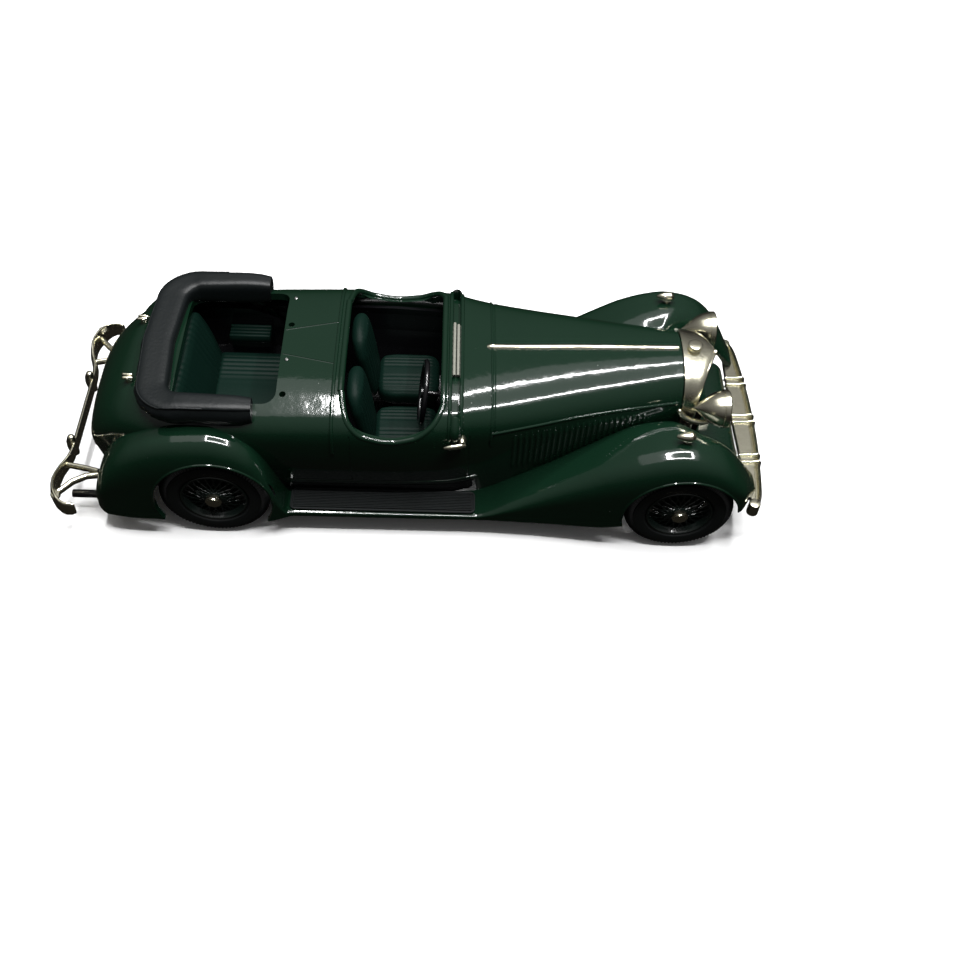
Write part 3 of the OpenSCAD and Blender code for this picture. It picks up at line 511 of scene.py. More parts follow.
valley_at = smooth([[-18.9, 5.8], [-17.3, 9], [-15, 12.5], [-12, 16.5], [-8, 19.5], [-4, 21], [0, 21.3],
                    [3, 20.6], [6, 18.6], [8, 15.2], [9.3, 11], [10.2, 7.4], [11.2, BOARD - 0.05],
                    [41, BOARD - 0.05], [43, 6], [45.8, 7.3], [52, 9.7], [58, 13.2], [62, 15], [66, 16.4],
                    [70, 16.8], [73, 16], [77, 14.5], [80, 13], [83, 11.9], [85.5, 10.45]])
ridge_at = smooth([[-18.9, 15.5], [-8, 16], [9, 16], [12, 15.5], [45, 15.2], [58, 15.8], [73, 16.4], [80, 16.2],
                   [85.5, 15]])
hem_at = smooth([[-18.9, 5.4], [-17, 4.6], [-10, 4.5], [10, 4.4], [45, 4.5], [60, 5.2], [65, 6.5], [76, 8.6],
                 [81, 9.7], [84, 10.15], [85.5, 10.15]])
SKIN = 0.9
WING_TAIL, WING_NOSE = -18.9, 85.5
WING_POWER = 2.5
ARCH_R = 9.1


def wing_hip(x):
    return mix(hem_at(x), crest_at(x), 0.55)


def wing_y(x, z):
    """Outer face of a wing at a height."""
    hip, top, mid = wing_hip(x), crest_at(x), ridge_at(x)
    rise = max(z - hip, 0) / (top - hip)
    return mid + (outer_at(x) - mid) * max(1 - rise ** WING_POWER, 0) ** (1 / WING_POWER)


def wing_ring(x, t=0.0, shift=0.0):
    top, out, inner = crest_at(x) - t, outer_at(x) - t, inner_at(x) - (1.5 if t else 0)
    valley, mid, low = valley_at(x) - t, ridge_at(x), hem_at(x) - 3 * t
    hip, n = mix(low, top, 0.55), 2 / WING_POWER
    pts = [(inner, low), (out, low)]
    pts += [(out, mix(low, hip, k / 5)) for k in range(1, 5)]
    pts += [(mid + (out - mid) * power(math.cos(a), n), hip + (top - hip) * power(math.sin(a), n))
            for a in np.linspace(0, math.pi / 2, 24)]
    pts += [(mid - (mid - inner) * power(math.sin(a), n), valley + (top - valley) * power(math.cos(a), n))
            for a in np.linspace(0, math.pi / 2, 24)[1:]]
    return [(x + shift, y, z) for y, z in pts]


def wing_stations(x0, x1):
    """Close together where the wing is steep."""
    xs, x = [x0], x0
    while x < x1:
        slope = abs(crest_at(x + 0.05) - crest_at(x - 0.05)) / 0.1
        x += 0.7 / (1 + slope)
        xs.append(min(x, x1))
    return xs


def wing_hollow(x0, x1, peak):
    rings = []
    for x in wing_stations(x0, x1):
        shift = SKIN * math.copysign(1, peak - x) * min(1, abs(peak - x) / 5)
        rings.append(wing_ring(x, SKIN, shift))
    return loft(rings)


def side_of(o, side):
    """Mirrors an object built on the car's left when side is -1."""
    if side < 0:
        o.data.transform(Matrix.Diagonal((1, -1, 1, 1)))
    return o


def build_wing(side, name):
    wing = loft([wing_ring(x) for x in wing_stations(WING_TAIL, WING_NOSE)])
    combine(wing, [wing_hollow(WING_TAIL, 9.3, 0), wing_hollow(44, WING_NOSE, 72.5)])
    lips = []
    for centre in (0, WHEELBASE):
        arc = [math.radians(a) for a in np.linspace(-4 if centre else 2, 182 if centre else 190, 90)]
        path = [(centre + (ARCH_R + 0.12) * math.cos(a), AXLE_Z + (ARCH_R + 0.12) * math.sin(a)) for a in arc]
        path = [(x, wing_y(x, z) - 0.05, z) for x, z in path if z > hem_at(x) + 0.2]
        lips.append(tube(path, 0.22, 10, up=(0, 1, 0)))
    combine(wing, lips, "UNION")
    combine(wing, [cylinder(0, AXLE_Z, ARCH_R, WELL_Y["rear"], 30),
                   cylinder(WHEELBASE, AXLE_Z, ARCH_R, WELL_Y["front"], 30),
                   cylinder(0, AXLE_Z, WELL_R, 13.9, 18.8), cylinder(WHEELBASE, AXLE_Z, WELL_R, 14.2, 19.6),
                   cylinder(0, AXLE_Z, AXLE_BORE_R, 0, 30, 32), cylinder(WHEELBASE, AXLE_Z, AXLE_BORE_R, 0, 30, 32)])
    finish(side_of(wing, side), name + "_painted", PAINT, [name])


def build_apron():
    """The curved sheet between the front wings, ahead of the radiator, on two legs."""
    over = smooth([[0, 12.6], [0.4, 12.9], [0.75, 12.1], [0.93, 11], [1, 9.9]])
    under = smooth([[0, 11.9], [0.4, 12.2], [0.75, 11.4], [0.93, 10.4], [1, 9.9]])
    rings = []
    for y in np.linspace(-10.9, 10.9, 45):
        back = max(79 - 0.42 * abs(y), 76.5)
        rings.append([(mix(back, 83.7, t), y, over(t)) for t in np.linspace(0, 1, 20)]
                     + [(mix(back, 83.1, t), y, under(t)) for t in np.linspace(1, 0, 12)])
    legs = [box((79.8, y - 0.7, BASE_TOP), (80.8, y + 0.7, 12.5)) for y in (-3, 3)]
    finish(join([loft(rings)] + legs), "front_apron_painted", PAINT, ["front_apron"], sharp=50)


def build_mats():
    for side, name in ((-1, "board_mat_right"), (1, "board_mat_left")):
        lo, hi = node_mm(name)
        y0, y1 = min(abs(lo.y), abs(hi.y)), max(abs(lo.y), abs(hi.y))
        outline = [(x, y + (y0 + y1) / 2) for x, y in rounded(lo.x, hi.x, (y1 - y0) / 2, 0.7)]
        mat = prism(outline, BOARD, BOARD + 0.18)
        rim = tube([(x, y, BOARD + 0.2) for x, y in outline], 0.2, 8, closed=True)
        ribs = []
        for k in range(11):
            y = y0 + 0.4 + k * (y1 - y0 - 0.8) / 10
            ribs.append(box((lo.x + 0.35, y - 0.1, BOARD + 0.1), (hi.x - 0.35, y + 0.1, BOARD + 0.42)))
        finish(side_of(join([mat, rim] + ribs), side), name + "_ribbed", MAT, [name])
        top = smooth([[10, 7.9], [36, 8.3], [41.5, 9.2]])
        rings = [[(x, skin_y(x, 4.4) - 0.6, 4.4), (x, skin_y(x, top(x)) - 0.6, top(x)),
                  (x, skin_y(x, top(x)) + 0.06, top(x)), (x, skin_y(x, 6.4) + 0.1, 6.4), (x, skin_y(x, 4.4) + 0.1, 4.4)]
                 for x in np.linspace(10.6, 41.2, 50)]
        finish(side_of(loft(rings), side), "sill_" + ("right" if side < 0 else "left"), BLACK)


# ---- interior
def oval_ring(centre, half, thick, direction, n=2.8, steps=96, rib=0.0, pitch=1.0):
    """A ring round a pad: half wide across the car, thick along direction, with ribs on its front face."""
    d = Vector(direction)
    pts = []
    for t in turn_round(steps):
        u, v = power(math.cos(t), 2 / n), power(math.sin(t), 2 / n)
        y = half * u
        bulge = 0.0
        if rib and v > 0.25:
            bulge = rib * (abs(math.cos(math.pi * y / pitch)) - 0.55) * max(0, 1 - (abs(u) / 0.95) ** 8)
        pts.append(Vector(centre) + d * (thick * v + bulge) + Vector((0, y, 0)))
    return pts


SEAT_Y = 6.0


def build_front_seat(side, name):
    lean = math.radians(9.5)
    up = Vector((-math.sin(lean), 0, math.cos(lean)))
    facing = Vector((math.cos(lean), 0, math.sin(lean)))
    width = smooth([[0, 3.6], [0.08, 4.1], [0.4, 4.7], [0.7, 4.8], [0.84, 4.3], [0.93, 3.4], [0.98, 2.1], [1, 1.1]])
    depth = smooth([[0, 1.1], [0.1, 1.35], [0.6, 1.5], [0.9, 1.4], [0.97, 0.9], [1, 0.4]])
    base = Vector((23.7, SEAT_Y, 10.6))
    back = loft([oval_ring(base + up * (13.1 * t), width(t), depth(t), facing, 2.3, 160, 0.13 * (1 - t ** 10), 0.8)
                 for t in list(np.linspace(0, 0.9, 40)) + list(np.linspace(0.91, 1, 16))])
    plan = smooth([[0, 2.2], [0.015, 3.1], [0.05, 3.9], [0.12, 4.5], [0.3, 4.85], [0.75, 4.85], [0.93, 4.3], [1, 3.2]])
    tall = smooth([[0, 0.9], [0.03, 1.5], [0.1, 1.95], [0.85, 2.05], [0.96, 1.6], [1, 1.1]])
    pad = loft([oval_ring((mix(24.4, 34.7, t), SEAT_Y, 11), plan(t), tall(t), (0, 0, 1), 3.4, 200,
                          0.17 if 0.03 < t < 0.97 else 0, 0.8)
                for t in list(np.linspace(0, 0.15, 24)) + list(np.linspace(0.17, 1, 50))])
    stand = box((27, SEAT_Y - 3.6, 6.12), (34, SEAT_Y + 3.6, 9.7))
    finish(side_of(join([back, pad, stand]), side), name + "_moulded", SOFT_GREEN, [name], sharp=60)


def build_rear_seat():
    lean = math.radians(20)
    up = Vector((-math.sin(lean), 0, math.cos(lean)))
    facing = Vector((math.cos(lean), 0, math.sin(lean)))
    width = smooth([[0, 9.9], [0.1, 10.2], [0.6, 11.2], [0.8, 11.1], [0.93, 10.2], [1, 8.6]])
    depth = smooth([[0, 0.8], [0.4, 1.05], [0.85, 0.95], [0.96, 0.7], [1, 0.35]])
    base = Vector((-2.4, 0, 11.6))
    back = loft([oval_ring(base + up * (10.6 * t), width(t), depth(t), facing, 3.2, 240, 0.2, 1.3)
                 for t in np.linspace(0, 1, 60)])
    tall = smooth([[0, 0.6], [0.05, 0.85], [0.93, 0.85], [1, 0.5]])
    pad = loft([oval_ring((mix(-2.1, 9, t), 0, 11.85), 9.9, tall(t), (0, 0, 1), 5, 320, 0.2 if t < 0.985 else 0, 1.0)
                for t in np.linspace(0, 1, 60)])
    finish(join([back, pad]), "rear_seat_moulded", SOFT_GREEN, ["rear_seat"], sharp=60)
    for side, name in ((-1, "armrest_right"), (1, "armrest_left")):
        lo, hi = node_mm(name)
        y0, y1 = min(abs(lo.y), abs(hi.y)), max(abs(lo.y), abs(hi.y))
        block = bevel(box((lo.x, y0, hi.z - 1.5), (hi.x, y1, hi.z - 0.35)), 0.2)
        bars = [tube([(lo.x + 0.15, y, hi.z - 0.35), (hi.x - 0.15, y, hi.z - 0.35)], 0.33, 12, round_ends=0.5)
                for y in np.linspace(y0 + 0.36, y1 - 0.36, 4)]
        finish(side_of(join([block] + bars), side), name + "_moulded", SOFT_GREEN, [name], sharp=50)
        # painted shade: a black block below each armrest's thin pad stands for the shadow on the armrest's side
        painted_shade_block = bevel(box((lo.x + 0.2, y0 + 0.5, lo.z), (hi.x - 0.2, y1, hi.z - 1.5)), 0.1)
        finish(side_of(painted_shade_block, side), name + "_painted_shade", BLACK)


WHEEL_C = (32.3, -5.8, 20.4)
WHEEL_RAKE = math.radians(7)


def build_steering():
    axis = Vector((math.cos(WHEEL_RAKE), 0, -math.sin(WHEEL_RAKE)))
    s = Vector((0, 1, 0))
    u = axis.cross(s)
    c = Vector(WHEEL_C)
    rim = [c + (s * math.cos(t) + u * math.sin(t)) * 4.85 for t in np.linspace(0, 2 * math.pi, 73)[:-1]]
    parts = [tube(rim, 0.42, 14, closed=True, up=axis)]
    parts.append(revolve([(-0.45, 0.5), (-0.4, 0.9), (0.3, 1.0), (0.35, 0.6)], c, axis, 40))
    for k in range(4):
        a = math.pi / 4 + k * math.pi / 2
        d = s * math.cos(a) + u * math.sin(a)
        parts.append(tube([c + d * 0.8, c + d * 4.7], 0.26, 8, tall=0.15, up=axis))
    finish(join(parts), "steering_wheel_moulded", BLACK, ["steering_wheel"])
    end = node_mm("steering_column")[1].x
    column = tube([c + axis * 0.3, c + axis * ((end - c.x) / axis.x - 0.15)], 0.45, 20)
    finish(column, "steering_column_turned", BLACK, ["steering_column"])


# ---- folded hood
def build_hood():
    corner, inner = (-4.3, 9.2), 4.2
    left = [(6.9, 13.5), (5.2, 13.57), (3.5, 13.6), (1.7, 13.58), (0, 13.52), (-2.2, 13.45)]
    left += [(corner[0] + inner * math.cos(a), corner[1] + inner * math.sin(a))
             for a in np.linspace(math.pi / 2, math.pi, 26)]
    left += [(-8.5 - 0.05 * k, 9.2 - 9.2 * k / 12) for k in range(1, 13)]
    path = left + [(x, -y) for x, y in left[-2::-1]]
    last = len(path) - 1
    rise = smooth([[0, 0], [2.5, 0.05], [12, 0.6], [30, 1], [60, 1]])
    rings = []
    for k, (x, y) in enumerate(path):
        a, b = Vector(path[max(k - 1, 0)]), Vector(path[min(k + 1, last)])
        d = (b - a).normalized()
        out = Vector((-d.y, d.x)) * -1
        out = -out if out.dot(Vector((x + 1, y))) < 0 else out
        s = rise(min(k, last - k))
        wide, top, low = mix(1.85, 2.5, s), mix(25.95, 25.35, s), mix(21.2, 22.3, s)
        wrinkle = 0.09 * math.sin(k * 0.9) + 0.06 * math.sin(k * 2.3 + 1)
        profile = []
        for t in turn_round(64):
            u, v = power(math.cos(t), 0.62), power(math.sin(t), 0.62)
            o, z = wide * u, (top + low) / 2 + (top - low) / 2 * v
            if v > 0.8:
                z -= 0.22 * (1 - u * u) * 0.8 - 0.22 * 0.4
            if u > 0.86 and v < 0.7:
                o += 0.18 * math.cos(v * 4.0) + wrinkle * (0.7 - v)
            profile.append((o, z))
        end = min(k, last - k)
        shrink = (0.82, 0.94, 0.985)[end] if end < 3 else 1
        mean = (top + low) / 2
        rings.append([(x + out.x * o * shrink, y + out.y * o * shrink, mean + (z - mean) * shrink) for o, z in profile])
    hood = loft(rings)
    # a sewn line round the outer edge of the top
    seam = []
    for k in range(4, last - 3):
        r = rings[k]
        px, py = path[k]
        pick = max(r, key=lambda p: (p[0] - px) * (r[0][0] - px) + (p[1] - py) * (r[0][1] - py)
                   + 0.9 * (p[2] - 23.5) * 2.2)
        seam.append(Vector(pick) + Vector((0, 0, -0.05)))
    combine(hood, [tube(seam, 0.16, 8)], "UNION")
    finish(hood, "folded_hood_moulded", HOOD, ["folded_hood"], sharp=70)


# ---- bright trim
def build_strip():
    rings = []
    for x in np.linspace(42.1, 72.1, 60):
        z = top_at(x)
        end = min(1, math.sqrt(max((x - 42.05) / 0.6, 0))) if x < 42.65 else 1
        wide, tall = 0.6 * mix(0.6, 1, end), 0.68 * mix(0.5, 1, end)
        rings.append([(x, wide * math.cos(t), z - 0.3 + tall * max(math.sin(t), -0.3)) for t in turn_round(24)])
    finish(loft(rings), "bonnet_strip_bright", NICKEL, ["bonnet_strip"], sharp=50)


def build_handles():
    def handle(side):
        lever = tube([(38.75, 15.95, 19.9), (38.1, 16.2, 19.95), (37.3, 16.4, 19.95), (36.4, 16.5, 19.85),
                      (35.8, 16.5, 19.75)], [0.4, 0.46, 0.46, 0.38, 0.22], 14, round_ends=0.8)
        boss = revolve([(0, 0.5), (1.3, 0.5), (1.5, 0.35)], (38.4, 14.7, 20.3), (0, 1, 0.1), 32)
        plate = revolve([(0, 0.7), (0.55, 0.7), (0.7, 0.5)], (38.4, 14.95, 20.25), (0, 1, 0.1), 32)
        return side_of(join([lever, boss, plate]), side)
    finish(mirrored(handle), "door_handles_bright", NICKEL, ["door_handles"], sharp=50)


def build_studs():
    lo, hi = node_mm("hood_studs")
    y = max(abs(lo.y), abs(hi.y)) - 0.5

    def stud(side):
        parts = [revolve([(0, 0.45), (1.5, 0.45), (1.6, 0.4)], (-12.9, y, 21.2), (0, 0, 1), 24),
                 tube([(-13.6, y - 0.35, 22.95), (-12.4, y - 0.3, 22.95)], 0.26, 10, round_ends=1),
                 tube([(-13.5, y + 0.35, 22.95), (-12.3, y + 0.3, 22.9)], 0.26, 10, round_ends=1),
                 tube([(-12.9, y - 0.42, 22.8), (-12.9, y + 0.42, 22.8)], 0.3, 10, round_ends=1)]
        return side_of(join(parts), side)
    finish(mirrored(stud), "hood_studs_bright", NICKEL, ["hood_studs"], sharp=50)


def build_windscreen():
    parts = []
    for x, y0, y1 in ((37.0, -6.3, 5.1), (37.6, -6.3, 4.7)):
        line = [(x, y, skin_z(x, y) - 0.22 + 0.05 * math.sin(5 * y + x)) for y in np.linspace(y0, y1, 30)]
        parts.append(tube(line, 0.24, 8, tall=0.3))
    finish(join(parts), "windscreen_stub_strips", PALE, ["windscreen_stub"])
    fills = [revolve([(0, 0.3), (0.9, 0.3), (1.0, 0.18)], (x, y, skin_z(x, y) - 0.85), (0, 0, 1), 24)
             for x, y, is_open in POSTS if not is_open]
    finish(join(fills), "broken_posts", STEEL)


# ---- radiator and lamps
PROW = 78.2
SHELL_X = node_mm("radiator_shell")[0].x
SHELL_HALF = 8.0
RADIATOR_FOOT = 10.8
CAP_PLACE = (74.7, 0, 26.05)


def shell_outline(inset, foot=RADIATOR_FOOT, steps=34):
    side = [(SHELL_HALF - inset - (18 - z) * 0.06, z) for z in np.linspace(foot, 18, 10)[:-1]]
    arc = [((SHELL_HALF - inset) * power(math.cos(a), 0.8), 19.4 + (6.9 - inset) * power(math.sin(a), 0.8))
           for a in np.linspace(0, math.pi / 2, steps)]
    half = side + arc
    return half + [(-y, z) for y, z in half[-2::-1]]


def prow_x(y):
    return PROW - 0.42 * abs(y)


def prow_z(z):
    """The shell's front edge drops a little above the shoulders."""
    return z - 0.6 * max(z - 18, 0) / 8


def prow_solid(inset, back, ahead, foot=RADIATOR_FOOT):
    ring = shell_outline(inset, foot)
    return loft([[(mix(back, prow_x(y) + ahead, t), y, mix(z, prow_z(z), t)) for y, z in ring]
                 for t in (0, 0.25, 0.5, 0.75, 1)])


def build_radiator():
    shell = prow_solid(0, SHELL_X, 0)
    combine(shell, [prow_solid(0.75, SHELL_X + 0.4, 1, RADIATOR_FOOT - 1.2)])
    bevel(shell, 0.12, 2, 40)
    edge = [(prow_x(y) - 0.12, y * 0.99, prow_z(z) - 0.1) for y, z in shell_outline(0.15)]
    lip = tube(edge, 0.27, 10, up=(1, 0, 0), round_ends=1)
    nose = revolve([(-0.55, 0.02), (-0.5, 0.3), (-0.2, 0.55), (0.15, 0.5), (0.35, 0.25), (0.4, 0.02)],
                   (PROW - 0.1, 0, 25.35), (1, 0, 0.1), 32)
    finish(join([shell, lip, nose]), "radiator_shell_bright", NICKEL, ["radiator_shell"], sharp=40)
    core = [prow_solid(0.78, SHELL_X + 0.43, -1.2)]
    ring_top = smooth([[0, 24.6], [3, 24.2], [5, 22.6], [6.4, 20.2], [7.2, 18]])
    for side in (-1, 1):
        for k in range(11):
            y = 0.3 + k * 0.62
            core.append(box((prow_x(y) - 1.6, side * y - 0.13, RADIATOR_FOOT + 0.1),
                            (prow_x(y) - 0.5, side * y + 0.13, ring_top(y) - 0.2)))
    finish(join(core), "radiator_grille_slats", SATIN_BLACK, ["radiator_grille"])
    cap = revolve([(0, 1.0), (0.25, 1.0), (0.3, 0.85), (0.55, 0.85), (0.6, 1.15), (0.85, 1.15), (0.95, 1.05),
                   (1.0, 0.9)], CAP_PLACE, (0, 0, 1), 64)
    finish(cap, "radiator_cap_bright", NICKEL, ["radiator_cap"], sharp=40)


def build_lamps():
    for side, name in ((-1, "right"), (1, "left")):
        lo, hi = node_mm("headlamp_" + name)
        c = (lo + hi) / 2
        r = (hi.z - lo.z) / 2
        length = hi.x - lo.x
        shape = [(0, 0.03), (0.06, 0.12), (0.17, 0.3), (0.3, 0.52), (0.45, 0.73), (0.6, 0.87), (0.74, 0.95),
                 (0.82, 0.965), (0.83, 1.02), (0.97, 1.03), (1.0, 0.98), (1.0, 0.9), (0.93, 0.88), (0.8, 0.6),
                 (0.75, 0.02)]
        shell = revolve([(a * length, b * r) for a, b in shape], (lo.x, c.y, c.z), (1, 0, 0), 72)
        finish(shell, "headlamp_%s_bright" % name, NICKEL, ["headlamp_" + name], sharp=40)
        lens = revolve([(-0.6, 0.05), (-0.55, 2.2), (-0.1, 2.55), (0.14, 1.8), (0.24, 0.9), (0.27, 0.02)],
                       (hi.x - 0.05, c.y, c.z), (1, 0, 0), 64)
        finish(lens, "lens_%s_glass" % name, LENS, ["lens_" + name], sharp=50)

    def stay(side):
        arm = tube([(72.2, 8.62, 21.0), (72.6, 8.8, 20.4), (73.2, 9.0, 19.85), (74.2, 9.25, 19.45), (75.4, 9.3, 19.2),
                    (76.6, 9.2, 19.1), (77.4, 9.0, 19.2)], [0.42, 0.5, 0.52, 0.5, 0.46, 0.42, 0.38], 14, round_ends=0.8)
        rod = tube([(74.4, 8.1, 20.6), (75.4, 8.0, 20.4), (76.3, 8.4, 20.1)], 0.2, 10)
        return side_of(join([arm, rod]), side)
    finish(mirrored(stay), "lamp_stays_bright", NICKEL, ["lamp_stays"], sharp=50)
    lo, hi = node_mm("sidelights")
    y = 15.6

    def sidelight(side):
        shape = [(0, 0.03), (0.15, 0.22), (0.6, 0.5), (1.2, 0.72), (1.8, 0.82), (2.15, 0.82), (2.2, 0.88), (2.35, 0.88),
                 (2.4, 0.8), (2.7, 0.68), (2.92, 0.42), (3.03, 0.2), (3.05, 0.03)]
        lamp = revolve(shape, (lo.x, y, hi.z - 0.84), (1, 0, 0), 40)
        foot = revolve([(0, 0.5), (0.25, 0.36), (1.0, 0.4)], (lo.x + 1.9, y, lo.z - 0.25), (0, 0, 1), 24)
        return side_of(join([lamp, foot]), side)
    finish(mirrored(sidelight), "sidelights_bright", NICKEL, ["sidelights"], sharp=40)


# ---- bumpers
BUMPER_Z = 9.0
blade_at = smooth([[0, 87.35], [4, 87.3], [8, 87.1], [12, 86.8], [15.6, 86.4], [17.4, 85.9], [18.2, 85.3]])
rail_at = smooth([[0, 84.3], [8, 84.4], [13, 84.55], [16, 84.7], [17.8, 85]])


def build_front_bumper():
    ys = np.linspace(-18.0, 18.0, 90)
    blade = loft([[(blade_at(abs(y)) + dx, y, BUMPER_Z + dz) for dx, dz in
                   ((-0.15, -1.25), (-0.3, -0.6), (-0.34, 0), (-0.3, 0.6), (-0.2, 1.1), (0, 1.3), (0.28, 1.12),
                    (0.42, 0.6), (0.48, 0), (0.42, -0.6), (0.28, -1.1), (0.05, -1.3))] for y in ys])
    # the plate narrows to nothing beside the end pins
    inner = smooth([[0, 84.0], [8, 84.2], [13, 84.3], [16, 84.5], [17.4, 84.9]])
    plate = loft([[(inner(abs(y)), y, BUMPER_Z + 0.1), (inner(abs(y)), y, BUMPER_Z + 0.75),
                   (inner(abs(y)) + 0.15, y, BUMPER_Z + 0.92), (blade_at(abs(y)) - 0.75, y, BUMPER_Z + 0.92),
                   (blade_at(abs(y)) - 0.62, y, BUMPER_Z + 0.8), (blade_at(abs(y)) - 0.6, y, BUMPER_Z + 0.1)]
                  for y in np.linspace(-17.2, 17.2, 80)])
    web = loft([[(rail_at(abs(y)), y, BUMPER_Z - 0.1), (blade_at(abs(y)) - 0.2, y, BUMPER_Z - 0.1),
                 (blade_at(abs(y)) - 0.2, y, BUMPER_Z + 0.3), (rail_at(abs(y)), y, BUMPER_Z + 0.3)]
                for y in np.linspace(-17.6, 17.6, 80)])
    parts = [blade, plate, web]
    for middle in (-8.7, 0, 8.7):
        for s in (-0.75, 0.75):
            y = middle + s
            x0, x1 = inner(abs(y)) - 0.12, blade_at(abs(y)) + 0.42
            clamp = [(x0, 0.3), (x0 + 0.15, 1), (mix(x0, x1, 0.6), 1), (x1 - 0.45, 1.3), (x1 - 0.05, 0.9), (x1, 0),
                     (x1 - 0.1, -0.9)]
            parts.append(tube([(x, y, BUMPER_Z + dz) for x, dz in clamp], 0.24, 10, up=(0, 1, 0)))
    for side in (-1, 1):
        parts.append(revolve([(-1.25, 0.8), (-1.15, 0.93), (1.05, 0.93), (1.15, 0.88), (1.2, 0.75)],
                             (85.2, side * 18, BUMPER_Z), (0, 0, 1), 48))
    finish(join(parts), "front_bumper_bright", NICKEL, ["front_bumper"], sharp=40)


REAR_BUMPER_Z = 7.0
REAR_LINE = [(-21.6, 20), (-22.3, 20.12), (-23, 20.1), (-23.7, 19.75), (-24.3, 19.2), (-24.9, 18.3), (-25.3, 17.4),
             (-25.6, 16.3), (-25.7, 15.2), (-25.55, 13.9), (-25.3, 12.6), (-24.85, 11.4), (-24.5, 10.4), (-24.3, 9.2),
             (-24.2, 8), (-24.2, 4), (-24.2, 0)]


def build_rear_bumper():
    line = REAR_LINE + [(x, -y) for x, y in REAR_LINE[-2::-1]]
    deep = smooth([[0, 1.15], [8, 1.15], [12, 1.35], [15, 1.8], [18, 1.9], [20.2, 1.5]])
    # x runs backwards round the ends, so each ring is drawn square to the path
    rings = []
    pts = [Vector((x, y, REAR_BUMPER_Z)) for x, y in line]
    for i, p in enumerate(pts):
        d = (pts[min(i + 1, len(pts) - 1)] - pts[max(i - 1, 0)]).normalized()
        out = Vector((d.y, -d.x, 0))
        h = deep(abs(p.y)) * (0.75 if i in (0, len(pts) - 1) else 1)
        rings.append([p + out * (0.4 * power(math.cos(t), 0.8) + 0.18 * (1 - abs(math.sin(t))))
                      + Vector((0, 0, h * power(math.sin(t), 0.9))) for t in turn_round(32)])
    parts = [loft(rings)]
    for side in (-1, 1):
        guard = [(-24.6, -1.9), (-24.75, -1), (-24.8, 0), (-24.75, 1), (-24.6, 1.9)]
        parts.append(tube([(x, side * 7.1, REAR_BUMPER_Z + dz) for x, dz in guard], [0.6, 0.8, 0.85, 0.8, 0.6], 20,
                          up=(0, 1, 0), round_ends=0.7))
        parts.append(revolve([(0, 0.75), (0.5, 0.75), (0.65, 0.6)], (-24.7, side * 18.4, REAR_BUMPER_Z + 0.9),
                             (0, 0, 1), 32))
    finish(join(parts), "rear_bumper_bright", NICKEL, ["rear_bumper"], sharp=40)

    def irons(side):
        arms = [tube([(-19.2, 13.6, 7.4), (-21, 13.9, 7.4), (-23, 15, 7.3), (-24.9, 17.2, 7.2)], 0.5, 14, tall=0.6),
                tube([(-19.3, 12.9, 7.4), (-21.5, 12.2, 7.3), (-24.6, 11.5, 7.2)], 0.45, 14, tall=0.6)]
        return side_of(join(arms), side)
    finish(mirrored(irons), "rear_bumper_irons_bright", NICKEL, ["rear_bumper_irons"], sharp=50)


def build_exhaust():
    pipe = revolve([(1.2, 0.42), (0, 0.42), (0, 0.6), (0.08, 0.65), (11.4, 0.65), (11.5, 0.6)], (-23.8, -14.6, 3.8),
                   (1, 0, 0), 40)
    finish(join([pipe, box((-14.8, -15.1, 4.3), (-13.6, -14.1, 4.5))]), "exhaust_pipe_black", BLACK, ["exhaust_pipe"])


# ---- wheels
TYRE_R = AXLE_Z
RIM_R = 5.3
TYRE_W = 4.2
TEETH = 84
TOOTH_DEPTH = 0.26
# where a row of spokes leaves the hub, its radius there, where it meets the rim, its slant and its number of spokes
SPOKE_ROWS = ((-0.35, 1.35, -1.3, 0.55, 20), (-0.35, 1.35, -1.3, -0.55, 20), (-3.0, 1.4, -2.4, 0.4, 14),
              (-3.0, 1.4, -2.4, -0.4, 14))


